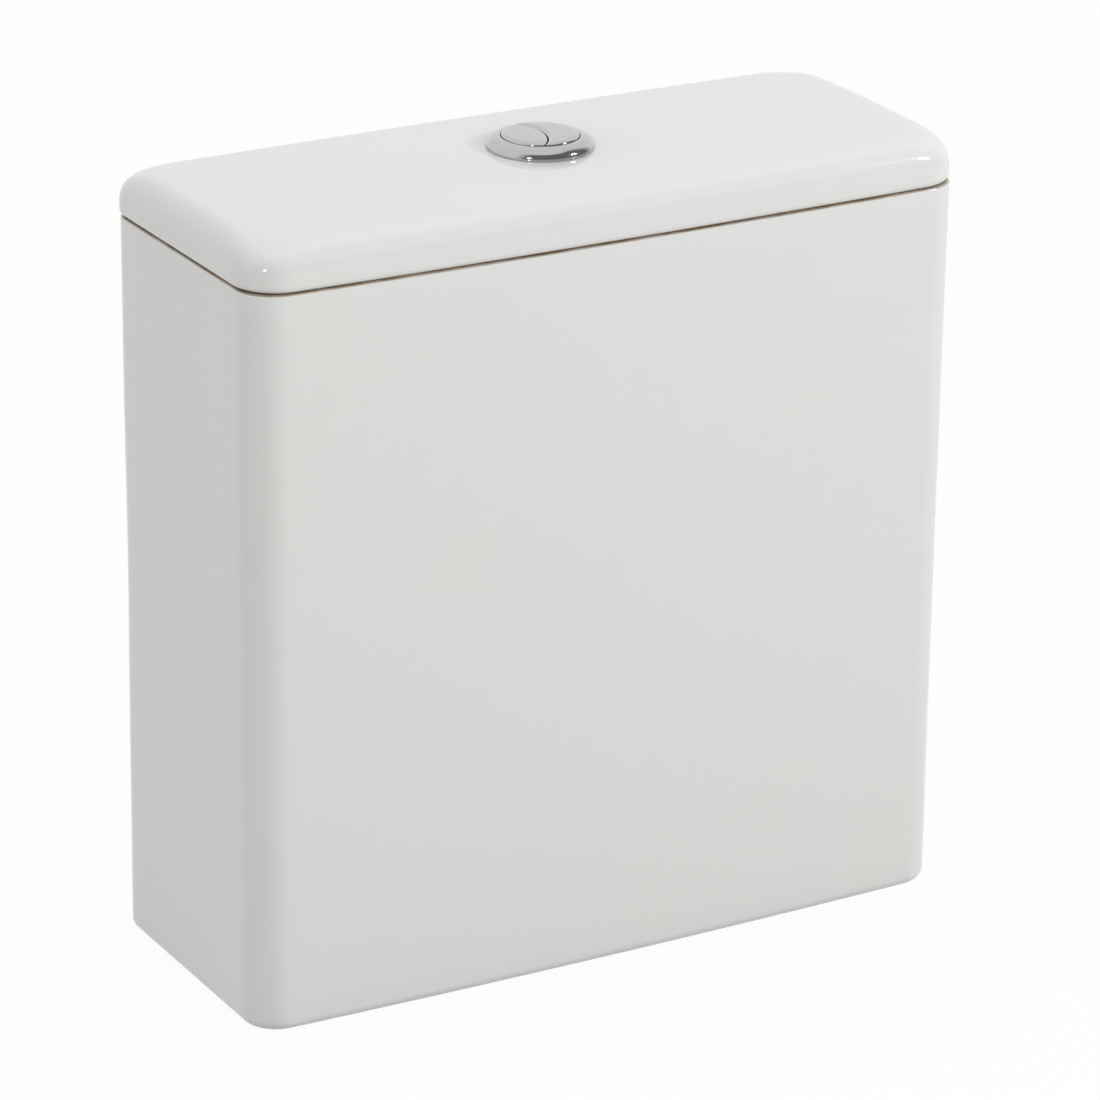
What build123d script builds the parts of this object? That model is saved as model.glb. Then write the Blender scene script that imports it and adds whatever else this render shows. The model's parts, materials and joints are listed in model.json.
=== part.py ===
from build123d import *
import os
from math import asin, cos, degrees, pi, sin, sqrt

# Toilet cistern with a dual flush button. Millimetres, +Z up, front towards -Y, width along X.
# The origin is at the middle of the foot rim, on the surface that the cistern stands on.

# China body
body_w = 365.0
body_d = 146.0
body_h = 352.5
front_bow = 3.0
front_corner_r = 17.1
back_corner_r = 14.0
inner_corner_r = 5.0
wall_t = 9.0
floor_t = 11.0
skirt_h = 38.0
foot_edge_r = 4.0
rim_edge = 1.1
floor_fillet_r = 4.0
bolt_hole_r = 6.0

# China lid
lid_overhang = 0.55
lid_h = 23.0
lid_crown = 2.2
lid_top_edge_r = 13.2
lid_foot_edge_r = 2.6
lid_top_t = 10.0
lip_h = 8.0
lip_t = 6.0
lip_gap = 2.5
lid_hole_gap = 0.8

# Where the flush valve, the button, the inlet and the coupling bolts stand
flush_y = 3.5
inlet_y = 0.0
fill_side_share = 0.5
bolt_gasket_gap = 8.0
bolt_y = 3.5

# Clearances
seat_gap = 0.15
thread_gap = 0.05
pin_gap = 0.05
slide_gap = 0.3
same_body_gap = 0.1
overrun = 5.0

# Button set
bezel_r = 24.8
bezel_h = 5.0
bezel_edge_h = 0.9
bezel_lip = 0.5
bezel_bulge_shares = (0.68, 0.89)
button_r = 17.9
button_gap = 0.3
button_cap_t = 3.4
button_rise = 4.6
button_skirt_t = 1.2
button_skirt_h = 6.0
button_edge_r = 1.0
split_r = 23.7
split_peak = 1.6
split_gap = 0.5
split_turn = -5.5
press_travel = 8.0
sleeve_r = 21.5
sleeve_len = 40.0
sleeve_flange_w = 2.1
sleeve_flange_t = 1.2
guide_plate_t = 3.0
foam_t = 2.0
clamp_nut_h = 8.0
clamp_nut_r = 27.0
clamp_lug_w = 8.0
clamp_lug_out = 3.0
clamp_lugs = 6
rod_r = 3.0
rod_place = 7.5
rod_boss_r = 3.9
rod_boss_h = 3.0
spring_r = 4.9
spring_wire_r = 0.55
spring_sides = 5
spring_turns = 5

# Flush levers and their frame
press_arm = 16.0
lift_arm = 24.0
lever_w = 7.0
lever_nose_r = 3.0
lever_arm_half_t = 1.6
lever_hub_r = 4.5
lever_pin_r = 2.0
lever_pin_drop = 69.5
cheek_t = 2.5
cheek_gap = 1.0
cheek_half_w = 14.0
cheek_head = 5.0
web_t = 3.0
bridge_t = 4.0
bridge_drop = 18.0
leg_t = 3.0
leg_w = 24.0
guide_ring_t = 2.2
spoke_w = 2.5

# Flush valve, from the tail up
tail_end_z = 4.0
nozzle_len = 9.5
nozzle_r = 28.5
tail_r = 29.8
tail_bore_r = 25.0
tail_hole_gap = 1.7
base_seal_t = 3.0
base_seal_w = 10.5
base_flange_r = 42.0
base_flange_t = 4.0
seat_h = 5.0
seat_w = 4.0
cage_h = 50.0
cage_ribs = 6
cage_rib_w = 4.0
cage_ring_h = 8.0
cage_ring_t = 2.8
cage_shelf_t = 4.0
tower_r = 36.0
tower_t = 2.5
tower_drop = 48.0
tower_collar_h = 8.0
tower_window_share = 0.66
tower_windows = 4
tower_mid_ring_h = 5.0
guide_h = 4.0
backnut_h = 12.0
backnut_r = 38.0
backnut_lugs = 6
backnut_lug_w = 7.0
backnut_lug_out = 2.5
gasket_room_share = 26 / 37
gasket_foot_share = 0.6
gasket_foot_z = 14.0
gasket_edge = 2.5

# Moving valve: overflow tube, seal and links
tube_r = 13.0
tube_t = 2.0
tube_over_tower = 10.0
tube_lip_out = 1.2
tube_lip_h = 2.0
seal_r = 29.6
seal_t = 2.5
retainer_r = 26.0
retainer_h = 9.0
retainer_plate_t = 2.5
retainer_wall_t = 2.0
link_t = 3.0
link_w = 8.0
link_hub_drop = 29.0
link_hub_h = 8.0
link_hub_t = 3.8
float_r = 30.0
float_in_r = 15.0
float_h = 26.0
float_wall_t = 1.5
float_drop = 46.0

# Coupling bolts
bolt_r = 4.0
bolt_shank_r = 3.65
bolt_end_z = 4.0
bolt_relief_gap = 1.5
bolt_flange_r = 10.0
bolt_flange_t = 1.6
bolt_head_r = 7.5
bolt_head_h = 4.5
bolt_slot_w = 1.8
bolt_slot_depth = 2.2
bolt_head_edge = 1.5
cone_washer_r = 13.0
cone_washer_top_r = 11.0
cone_washer_t = 5.0
cone_nose_h = 4.0
cone_nose_gap = 0.2
under_washer_r = 12.0
under_washer_t = 3.0
lock_nut_flats = 13.0
lock_nut_h = 6.5

# Fill valve, from the inlet up
inlet_end_z = 5.0
inlet_r = 10.48
inlet_relief_gap = 3.0
shank_r = 10.0
shank_bore_r = 6.5
inlet_hole_r = 13.0
inlet_washer_t = 2.5
inlet_washer_r = 17.0
shank_flange_r = 18.0
shank_flange_t = 3.5
riser_r = 9.0
riser_in_column = 60.0
inlet_nut_h = 9.0
inlet_nut_flats = 30.0
inlet_nut_flange_t = 2.0
inlet_nut_flange_r = 18.5
filter_len = 18.0
filter_wall_t = 1.0
filter_rim_h = 2.0
filter_slots = 6
filter_slot_w = 1.6
column_r = 11.5
column_foot_rise = 41.0
column_drop = 130.5
lock_ring_r = 15.0
lock_ring_h = 12.0
lock_ring_grips = 8
lock_ring_grip_r = 1.4
head_r = 19.0
head_h = 37.0
head_floor_t = 6.0
head_wall_t = 3.0
cap_r = 21.0
cap_h = 10.0
cap_grips = 10
cap_grip_r = 1.2
diaphragm_r = 15.5
diaphragm_t = 2.0
diaphragm_bead = 1.0
silencer_r = 6.5
silencer_wall_t = 1.2
silencer_floor_gap = 26.0
silencer_offset = 24.0
spout_h = 12.0
spout_slot_w = 5.0
nozzle_tip_r = 2.0
nozzle_tip_h = 2.0
fill_pivot_off = 6.0
fill_pivot_rise = 6.0
fill_lever_w = 10.0
fill_lever_t = 3.0
fill_hub_r = 4.0
fill_pin_r = 1.5
fill_pad_len = 10.0
ear_t = 2.5
float_rod_off = 48.0
float_travel = 10.0
float_rod_r = 2.0
float_rod_over = 15.0
float_collar_r = 4.0
float_collar_t = 2.0
fork_slot_gap = 0.6
cup_r = 20.0
cup_h = 45.0
cup_wall_t = 1.5
cup_edge = 2.5
cup_boss_r = 4.5
cup_boss_depth = 14.0
bracket_rise = 17.0
bracket_t = 4.0
bracket_w = 12.0

# Heights and places that follow
floor_top = skirt_h + floor_t
lid_top_z = body_h + lid_h
lid_ceiling_z = lid_top_z - lid_top_t
bezel_z = lid_top_z + thread_gap
bore_r = button_r + button_gap
guide_plate_z = lid_top_z - sleeve_len
cap_under_z = bezel_z + button_rise - button_cap_t
lever_pin_z = lid_top_z - lever_pin_drop
lever_half_turn = degrees(asin(press_travel / 2 / press_arm))
lift_travel = press_travel * lift_arm / press_arm
press_nose_z = lever_pin_z + press_travel / 2 + lever_nose_r
lift_nose_z = lever_pin_z - lift_travel / 2 + lever_nose_r
lane_y = rod_place
pivot_x = press_arm - rod_place
lift_nose_x = pivot_x + lift_arm
flange_z = floor_top + base_seal_t
seat_z = flange_z + base_flange_t + seat_h
cage_top_z = flange_z + base_flange_t + cage_h + cage_ring_h
tower_foot_z = cage_top_z - cage_shelf_t
tower_top_z = lever_pin_z - tower_drop
tube_top_z = tower_top_z + tube_over_tower
link_hub_z = tower_top_z - link_hub_drop
float_top_z = tower_top_z - float_drop
gasket_room = body_d / 2 - wall_t - flush_y - base_flange_r
gasket_r = base_flange_r + gasket_room * gasket_room_share
bolt_x = gasket_r + under_washer_r + bolt_gasket_gap
gasket_grip_r = tail_r + same_body_gap
gasket_foot_r = gasket_grip_r + (gasket_r - gasket_grip_r) * gasket_foot_share
bolt_thread_end_z = skirt_h - under_washer_t - lock_nut_h - bolt_relief_gap
inlet_relief_z = skirt_h - inlet_nut_h - inlet_relief_gap
inlet_flange_z = floor_top + inlet_washer_t
column_foot_z = floor_top + column_foot_rise
riser_top_z = column_foot_z + riser_in_column
silencer_foot_z = floor_top + silencer_floor_gap
head_z = lid_top_z - column_drop
cap_z = head_z + head_h
bracket_z = head_z + bracket_rise
fill_pivot_z = cap_z + cap_h + fill_pivot_rise
float_rod_top_z = fill_pivot_z + float_rod_over
cup_top_z = head_z
fill_set_w = cup_r + float_rod_off + silencer_offset + silencer_r
fill_room = body_w / 2 - wall_t - tower_r - fill_set_w
float_rod_x = tower_r + fill_room * fill_side_share + cup_r
inlet_x = float_rod_x + float_rod_off
fill_arm = float_rod_off - fill_pivot_off
fill_half_turn = degrees(asin(float_travel / 2 / fill_arm))
fork_z = fill_pivot_z - float_travel / 2

flush_axis = Pos(0, flush_y, 0)
inlet_axis = Pos(inlet_x, inlet_y, 0)
float_axis = Pos(float_rod_x, inlet_y, 0)


# Plain forms

def rod(radius, low_z, high_z):
    """A round bar about the Z axis between two heights."""
    bar = Cylinder(radius, high_z - low_z, align=(Align.CENTER, Align.CENTER, Align.MIN))
    return Pos(0, 0, low_z) * bar


def ring(outer_r, inner_r, low_z, high_z):
    """A round ring about the Z axis between two heights."""
    return rod(outer_r, low_z, high_z) - rod(inner_r, low_z, high_z)


def block(low, high):
    """A box between two corners."""
    size = [b - a for a, b in zip(low, high)]
    return Pos(*low) * Box(*size, align=(Align.MIN, Align.MIN, Align.MIN))


def turned(outline):
    """A closed outline of radius and height, turned about the Z axis."""
    face = make_face(Plane.XZ * Polyline(*outline, close=True))
    return revolve(face, Axis.Z, 360)


def around(piece, count):
    """Copies of a piece, evenly spaced about the Z axis."""
    return [Rot(0, 0, 360 * i / count) * piece for i in range(count)]


def finger(reach, radius, low_z, high_z):
    """A flat finger along X from the Z axis, with a round end."""
    face = Pos(reach / 2, 0) * Rectangle(abs(reach), 2 * radius) + Pos(reach, 0) * Circle(radius)
    return Pos(0, 0, low_z) * extrude(face, amount=high_z - low_z)


def hexagon(flats, low_z, high_z):
    """A hexagonal bar about the Z axis."""
    face = RegularPolygon(flats / 2, 6, major_radius=False)
    return Pos(0, 0, low_z) * extrude(face, amount=high_z - low_z)


# China

def plan(inset):
    """The cistern's outline seen from above, set in by one wall."""
    half_w = body_w / 2 - inset
    back = body_d / 2 - inset
    front = -body_d / 2 + inset
    ends = front + front_bow
    sides = Polyline((half_w, ends), (half_w, back), (-half_w, back), (-half_w, ends))
    bow = ThreePointArc((-half_w, ends), (0, front), (half_w, ends))
    face = make_face(sides + bow)
    by_depth = face.vertices().sort_by(Axis.Y)
    face = fillet(by_depth[:2], max(front_corner_r - inset, inner_corner_r))
    back_ends = face.vertices().sort_by(Axis.Y)[-2:]
    return fillet(back_ends, max(back_corner_r - inset, inner_corner_r))


def prism(inset, low_z, high_z):
    """The cistern's outline as an upright block between two heights."""
    return Pos(0, 0, low_z) * extrude(plan(inset), amount=high_z - low_z)


def cistern_body():
    body = prism(0, 0, body_h)
    body = fillet(body.faces().sort_by(Axis.Z)[0].edges(), foot_edge_r)
    tank = prism(wall_t, floor_top, body_h)
    tank = fillet(tank.faces().sort_by(Axis.Z)[0].edges(), floor_fillet_r)
    foot = prism(wall_t, 0, skirt_h)
    body = body - tank - foot
    body = chamfer(body.faces().sort_by(Axis.Z)[-1].edges(), rim_edge)
    drill = flush_axis * rod(tail_r + tail_hole_gap, skirt_h, floor_top)
    body -= drill
    body -= inlet_axis * rod(inlet_hole_r, skirt_h, floor_top)
    for side in (-1, 1):
        body -= Pos(side * bolt_x, bolt_y, 0) * rod(bolt_hole_r, skirt_h, floor_top)
    return body


def lid():
    shell = prism(-lid_overhang, body_h, lid_top_z)
    half_d = body_d / 2 + lid_overhang
    crown_r = (half_d ** 2 + lid_crown ** 2) / (2 * lid_crown)
    crown = Pos(0, 0, lid_top_z - crown_r) * Rot(0, 90, 0) * Cylinder(crown_r, 2 * body_w)
    shell = shell & crown
    shell = fillet(shell.faces().sort_by(Axis.Z)[-1].edges(), lid_top_edge_r)
    shell = fillet(shell.faces().sort_by(Axis.Z)[0].edges(), lid_foot_edge_r)
    lip_out = wall_t + lip_gap
    lip = prism(lip_out, body_h - lip_h, body_h)
    shell = shell + lip - prism(lip_out + lip_t, body_h - lip_h, lid_ceiling_z)
    hole = rod(sleeve_r + lid_hole_gap, lid_ceiling_z, lid_top_z + overrun)
    return shell - flush_axis * hole


# Button set

def button_bezel():
    top = bezel_z + bezel_h
    inner = bore_r
    crest = inner + bezel_lip
    flange_out = sleeve_r + sleeve_flange_w + same_body_gap
    flange_top = bezel_z + sleeve_flange_t + same_body_gap
    edge_top = bezel_z + bezel_edge_h
    middle_r = crest + (bezel_r - crest) * bezel_bulge_shares[0]
    middle_z = edge_top + (top - edge_top) * bezel_bulge_shares[1]
    lower = Polyline((bezel_r, edge_top), (bezel_r, bezel_z), (flange_out, bezel_z),
                     (flange_out, flange_top), (inner, flange_top), (inner, top - bezel_lip))
    roll = ThreePointArc((inner, top - bezel_lip),
                         (crest - bezel_lip * sqrt(1 / 2), top - bezel_lip * (1 - sqrt(1 / 2))),
                         (crest, top))
    dome = ThreePointArc((crest, top), (middle_r, middle_z), (bezel_r, edge_top))
    face = make_face(Plane.XZ * (lower + roll + dome))
    return flush_axis * revolve(face, Axis.Z, 360)


def button_housing():
    sleeve = ring(sleeve_r, bore_r + same_body_gap, guide_plate_z, bezel_z + sleeve_flange_t)
    sleeve += ring(sleeve_r + sleeve_flange_w, bore_r + same_body_gap, bezel_z,
                   bezel_z + sleeve_flange_t)
    sleeve += rod(bore_r + same_body_gap, guide_plate_z, guide_plate_z + guide_plate_t)
    for side in (-1, 1):
        hole = rod(rod_r + slide_gap, guide_plate_z, guide_plate_z + guide_plate_t)
        sleeve -= Pos(side * rod_place, -side * rod_place, 0) * hole
    return flush_axis * sleeve


def button_foam_washer():
    washer = ring(clamp_nut_r, sleeve_r + same_body_gap, lid_ceiling_z - foam_t, lid_ceiling_z)
    return flush_axis * washer


def button_clamp_nut():
    top = lid_ceiling_z - foam_t
    bottom = top - clamp_nut_h
    nut = rod(clamp_nut_r, bottom, top)
    lug = block((0, -clamp_lug_w / 2, bottom), (clamp_nut_r + clamp_lug_out, clamp_lug_w / 2, top))
    for copy in around(lug, clamp_lugs):
        nut += copy
    return flush_axis * (nut - rod(sleeve_r + thread_gap, bottom, top))


def split_disc(radius):
    """The round patch that parts the two buttons."""
    return Rot(0, 0, split_turn) * Pos(split_peak - split_r, 0) * Circle(radius)


def button(face):
    """A cap with rolled edges, a skirt under it and a boss for its push rod."""
    top = bezel_z + button_rise
    cap = Pos(0, 0, cap_under_z) * extrude(face, amount=button_cap_t)
    cap = fillet(cap.faces().sort_by(Axis.Z)[-1].edges(), button_edge_r)
    inner = offset(face, -button_skirt_t, kind=Kind.INTERSECTION)
    skirt = Pos(0, 0, cap_under_z - button_skirt_h) * extrude(face - inner, amount=button_skirt_h)
    return cap + skirt


def button_boss(side):
    boss = ring(rod_boss_r, rod_r + thread_gap, cap_under_z - rod_boss_h, cap_under_z)
    return Pos(side * rod_place, -side * rod_place, 0) * boss


def half_flush_button():
    face = Circle(button_r) & split_disc(split_r - split_gap / 2)
    return flush_axis * (button(face) + button_boss(-1))


def full_flush_button():
    face = Circle(button_r) - split_disc(split_r + split_gap / 2)
    return flush_axis * (button(face) + button_boss(1))


def push_rod(side):
    """A rod from a button's underside to just above its lever's nose."""
    stem = rod(rod_r, press_nose_z + seat_gap, cap_under_z)
    return flush_axis * Pos(side * rod_place, -side * rod_place, 0) * stem


def biarc(start, start_dir, end, end_dir):
    """Two arcs that leave one point and reach another in the given directions."""
    span = end - start
    both = start_dir + end_dir
    spread = 2 * (1 - start_dir.dot(end_dir))
    along = span.dot(both)
    reach = (-along + sqrt(along ** 2 + spread * span.dot(span))) / spread
    middle = (start + start_dir * reach + end - end_dir * reach) * (1 / 2)
    first = arc_from(start, start_dir, middle)
    second = arc_from(end, end_dir * -1, middle)
    return [first, ThreePointArc(middle, second.position_at(1 / 2), end)]


def arc_from(start, direction, end):
    """An arc that leaves a point in one direction and ends at another point."""
    chord = end - start
    turn = direction.get_angle(chord)
    share = 1 / (2 * cos(turn * pi / 360))
    bisector = (direction.normalized() + chord.normalized()).normalized()
    return ThreePointArc(start, start + bisector * (chord.length * share), end)


def button_spring(side):
    """An open coil with straight upright ends, between the guide plate and the button."""
    low = guide_plate_z + guide_plate_t + same_body_gap
    high = cap_under_z - seat_gap
    lead = 2 * spring_wire_r
    rise = high - low - 2 * lead
    pitch = rise / spring_turns
    points = []
    for i in range(2 * spring_turns + 1):
        angle = pi * i
        points.append(Vector(spring_r * cos(angle), spring_r * sin(angle), low + lead + pitch * i / 2))
    slope = pitch / (2 * pi)
    ways = [Vector(-spring_r * sin(pi * i), spring_r * cos(pi * i), slope).normalized()
            for i in range(2 * spring_turns + 1)]
    arcs = []
    for i in range(2 * spring_turns):
        arcs += biarc(points[i], ways[i], points[i + 1], ways[i + 1])
    lead_in = Line(points[0] - ways[0] * lead, points[0])
    lead_out = Line(points[-1], points[-1] + ways[-1] * lead)
    path = Wire([lead_in.edge()] + [arc.edge() for arc in arcs] + [lead_out.edge()])
    start = points[0] - ways[0] * lead
    section = Plane(origin=start, z_dir=ways[0]) * RegularPolygon(spring_wire_r, spring_sides)
    coil = sweep(section, path)
    return flush_axis * Pos(side * rod_place, -side * rod_place, 0) * coil


# Levers

def lever(side):
    """A rocking lever: the button's rod presses one nose and the other nose lifts a link."""
    arm = Rectangle(press_arm + lift_arm, 2 * lever_arm_half_t)
    face = Pos((press_arm - lift_arm) / 2, 0) * arm
    face += Pos(press_arm, 0) * Circle(lever_nose_r)
    face += Pos(-lift_arm, 0) * Circle(lever_nose_r)
    face += Circle(lever_hub_r)
    face -= Circle(lever_pin_r + pin_gap)
    solid = extrude(Plane.XZ * face, amount=lever_w / 2, both=True)
    solid = Rot(0, -lever_half_turn, 0) * solid
    solid = Pos(-pivot_x, -lane_y, lever_pin_z) * solid
    if side < 0:
        solid = Rot(0, 0, 180) * solid
    return flush_axis * solid


def lever_pins():
    """One pin for each lever, from the outer cheek to the middle web."""
    cheek_y = lane_y + lever_w / 2 + cheek_gap + cheek_t
    pin = Rot(-90, 0, 0) * rod(lever_pin_r, 0, cheek_y + web_t / 2)
    pin = Pos(-pivot_x, -cheek_y, lever_pin_z) * pin
    return [flush_axis * pin, flush_axis * Rot(0, 0, 180) * pin]


def actuator_frame():
    """The bridge on top of the tower that carries both levers."""
    bridge_top = lever_pin_z - bridge_drop
    bridge_low = bridge_top - bridge_t
    base_top = tower_top_z + guide_h
    base = ring(tower_r, tower_r - 2 * leg_t, tower_top_z, base_top)
    spoke = block((tube_r, -spoke_w / 2, tower_top_z), (tower_r - leg_t, spoke_w / 2, base_top))
    for copy in around(spoke, tower_windows):
        base += Rot(0, 0, 360 / tower_windows / 2) * copy
    guide_r = tube_r + slide_gap
    base += ring(guide_r + guide_ring_t, guide_r, tower_top_z, base_top)
    base -= rod(guide_r, tower_top_z, base_top)
    leg_in = tower_r - 2 * leg_t
    leg_out = leg_in + leg_t
    for side in (-1, 1):
        low_y, high_y = sorted((side * leg_in, side * leg_out))
        base += block((-leg_w / 2, low_y, base_top), (leg_w / 2, high_y, bridge_top))
    base += block((-cheek_half_w, -leg_out, bridge_low), (cheek_half_w, leg_out, bridge_top))
    plate = Pos(0, (bridge_top + lever_pin_z + cheek_head) / 2) * RectangleRounded(
        2 * cheek_half_w, lever_pin_z + cheek_head - bridge_top, cheek_head)
    plate += Pos(0, bridge_top + cheek_head / 2) * Rectangle(2 * cheek_half_w, cheek_head)
    cheek_in = lane_y + lever_w / 2 + cheek_gap
    cheek = extrude(Plane.XZ * plate, amount=-cheek_t)
    base += Pos(0, cheek_in, 0) * cheek
    base += Pos(0, -cheek_in - cheek_t, 0) * cheek
    base += extrude(Plane.XZ * plate, amount=web_t / 2, both=True)
    for side in (-1, 1):
        drill = Rot(90, 0, 0) * rod(lever_pin_r + thread_gap, 0, cheek_in + cheek_t + overrun)
        drill = Pos(-pivot_x, web_t / 2, lever_pin_z) * drill
        base -= drill if side > 0 else Rot(0, 0, 180) * drill
    return flush_axis * base


# Flush valve

def flush_valve_base():
    """Threaded tail, clamping flange, raised seat and a ribbed cage with the tower's socket."""
    nozzle_top = tail_end_z + nozzle_len
    flange_top = flange_z + base_flange_t
    seat_out = tail_bore_r + seat_w
    tail = turned([
        (tail_bore_r, tail_end_z), (nozzle_r, tail_end_z), (nozzle_r, nozzle_top),
        (tail_r, nozzle_top), (tail_r, flange_z), (base_flange_r, flange_z),
        (base_flange_r, flange_top), (seat_out, flange_top), (seat_out, seat_z - seat_w / 2),
        (tail_bore_r + seat_w * 3 / 4, seat_z), (tail_bore_r + seat_w / 4, seat_z),
        (tail_bore_r, seat_z - seat_w / 2)])
    socket_r = tower_r + same_body_gap
    ring_out = socket_r + cage_ring_t
    ring_z = cage_top_z - cage_ring_h
    rib = block((tower_r - tower_t, -cage_rib_w / 2, flange_top), (ring_out, cage_rib_w / 2, ring_z))
    for copy in around(rib, cage_ribs):
        tail += copy
    socket = ring(ring_out, tower_r - tower_t, ring_z, cage_top_z)
    socket -= rod(socket_r, tower_foot_z, cage_top_z)
    return flush_axis * (tail + socket)


def flush_valve_base_seal():
    seal = ring(tail_r + base_seal_w, tail_r + same_body_gap, floor_top, flange_z)
    return flush_axis * seal


def flush_valve_backnut():
    low = skirt_h - backnut_h
    nut = rod(backnut_r - backnut_lug_out, low, skirt_h)
    lug = block((0, -backnut_lug_w / 2, low), (backnut_r, backnut_lug_w / 2, skirt_h))
    for copy in around(lug, backnut_lugs):
        nut += copy
    return flush_axis * (nut - rod(tail_r + thread_gap, low, skirt_h))


def coupling_gasket():
    """The thick rubber ring that covers the backnut and seals on the pan."""
    pocket_r = sqrt(backnut_r ** 2 + (backnut_lug_w / 2) ** 2) + slide_gap
    pocket_z = skirt_h - backnut_h - same_body_gap
    gasket = turned([
        (gasket_grip_r, gasket_foot_z), (gasket_foot_r, gasket_foot_z), (gasket_r, pocket_z),
        (gasket_r, skirt_h), (pocket_r, skirt_h), (pocket_r, pocket_z),
        (gasket_grip_r, pocket_z)])
    round_edges = gasket.edges().filter_by(GeomType.CIRCLE).filter_by(
        lambda e: e.radius > gasket_foot_r - thread_gap and e.center().Z < skirt_h - thread_gap)
    return flush_axis * chamfer(round_edges, gasket_edge)


def flush_valve_tower():
    """The slotted tube above the seat, with a spider that guides the overflow tube."""
    tower = ring(tower_r, tower_r - tower_t, tower_foot_z, tower_top_z)
    low = cage_top_z + tower_mid_ring_h
    high = tower_top_z - tower_collar_h
    half_angle = 180 / tower_windows * tower_window_share
    half_chord = tower_r * sin(half_angle * pi / 180)
    window = block((0, -half_chord, low), (tower_r + overrun, half_chord, high))
    for copy in around(window, tower_windows):
        tower -= copy
    guide_r = tube_r + slide_gap
    guide_top = tower_foot_z + guide_h
    spoke = block((tube_r, -spoke_w / 2, tower_foot_z),
                  (tower_r - tower_t / 2, spoke_w / 2, guide_top))
    for copy in around(spoke, tower_windows):
        tower += copy
    tower += ring(guide_r + guide_ring_t, guide_r, tower_foot_z, guide_top)
    return flush_axis * (tower - rod(guide_r, tower_foot_z, guide_top))


def overflow_tube():
    foot = seat_z + seal_t + retainer_plate_t
    tube = ring(tube_r, tube_r - tube_t, foot, tube_top_z)
    tube += ring(tube_r + tube_lip_out, tube_r - tube_t, foot, foot + tube_lip_h)
    return flush_axis * tube


def flush_seal():
    return flush_axis * ring(seal_r, tube_r - tube_t, seat_z, seat_z + seal_t)


def seal_retainer():
    """The dished plate on the overflow tube's foot that carries the seal."""
    low = seat_z + seal_t
    plate_top = low + retainer_plate_t
    dish = ring(retainer_r, tube_r - tube_t, low, plate_top)
    dish += ring(retainer_r, retainer_r - retainer_wall_t, plate_top, low + retainer_h)
    grip = tube_r + tube_lip_out + same_body_gap
    dish += ring(grip + retainer_wall_t, grip, plate_top, low + retainer_h)
    return flush_axis * dish


def link_strap(foot_z, reach_x):
    """A strap with a ledge over a lever's nose and a foot that turns in to the valve's axis."""
    ledge_z = lift_nose_z + seat_gap
    strap_in = lift_nose_x + lever_nose_r + link_t / 2
    strap_out = strap_in + link_t
    low_y = -lane_y - link_w / 2
    high_y = -lane_y + link_w / 2
    strap = block((-strap_out, low_y, foot_z), (-strap_in, high_y, ledge_z + link_t))
    strap += block((-strap_out, low_y, ledge_z),
                   (-lift_nose_x + lever_nose_r, high_y, ledge_z + link_t))
    return strap + block((-strap_out, low_y, foot_z), (-reach_x, high_y, foot_z + link_t))


def full_flush_link():
    """Hangs on the full flush lever's nose and clasps the overflow tube."""
    hub_r = tube_r + same_body_gap + link_hub_t
    hub_top = link_hub_z + link_hub_h
    link = link_strap(link_hub_z, tube_r)
    link += rod(hub_r, link_hub_z, hub_top)
    return flush_axis * (link - rod(tube_r + same_body_gap, link_hub_z, hub_top))


def half_flush_link():
    """Hangs on the half flush lever's nose and carries the half flush float."""
    return flush_axis * Rot(0, 0, 180) * link_strap(float_top_z, float_in_r + float_wall_t)


def half_flush_float():
    """An upturned ring-shaped cup around the overflow tube."""
    low = float_top_z - float_h
    cup = ring(float_r, float_in_r, low, float_top_z)
    hollow = ring(float_r - float_wall_t, float_in_r + float_wall_t, low,
                  float_top_z - float_wall_t)
    return flush_axis * (cup - hollow)


# Coupling set

def at_bolts(piece):
    return [Pos(side * bolt_x, bolt_y, 0) * piece for side in (-1, 1)]


def coupling_bolts():
    flange_low = floor_top + cone_washer_t
    head_low = flange_low + bolt_flange_t
    head_top = head_low + bolt_head_h
    bolt = rod(bolt_r, bolt_end_z, bolt_thread_end_z)
    bolt += rod(bolt_shank_r, bolt_thread_end_z, flange_low)
    bolt += rod(bolt_flange_r, flange_low, head_low)
    head = rod(bolt_head_r, head_low, head_top)
    head = chamfer(head.edges().sort_by(Axis.Z)[-1], bolt_head_edge)
    slot = block((-bolt_head_r, -bolt_slot_w / 2, head_top - bolt_slot_depth),
                 (bolt_head_r, bolt_slot_w / 2, head_top))
    return at_bolts(bolt + (head - slot))


def bolt_sealing_washers():
    """Rubber cones that seal the bolts inside the tank, with a nose in the china's hole."""
    bore = bolt_shank_r + same_body_gap
    nose_r = bolt_hole_r - cone_nose_gap
    nose_z = floor_top - cone_nose_h
    top = floor_top + cone_washer_t
    return at_bolts(turned([
        (bore, nose_z), (nose_r - cone_nose_gap, nose_z), (nose_r, floor_top),
        (cone_washer_r, floor_top), (cone_washer_top_r, top), (bore, top)]))


def bolt_underfloor_washers():
    washer = ring(under_washer_r, bolt_shank_r + same_body_gap, skirt_h - under_washer_t, skirt_h)
    return at_bolts(washer)


def bolt_lock_nuts():
    top = skirt_h - under_washer_t
    low = top - lock_nut_h
    return at_bolts(hexagon(lock_nut_flats, low, top) - rod(bolt_shank_r + thread_gap, low, top))


# Fill valve

def fill_valve_shank():
    flange_top = inlet_flange_z + shank_flange_t
    shank = rod(inlet_r, inlet_end_z, inlet_relief_z)
    shank += rod(shank_r, inlet_relief_z, inlet_flange_z)
    shank += rod(shank_flange_r, inlet_flange_z, flange_top)
    shank += rod(riser_r, flange_top, riser_top_z)
    return inlet_axis * (shank - rod(shank_bore_r, inlet_end_z, riser_top_z))


def fill_valve_washer():
    washer = ring(inlet_washer_r, shank_r + same_body_gap, floor_top, inlet_flange_z)
    return inlet_axis * washer


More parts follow.
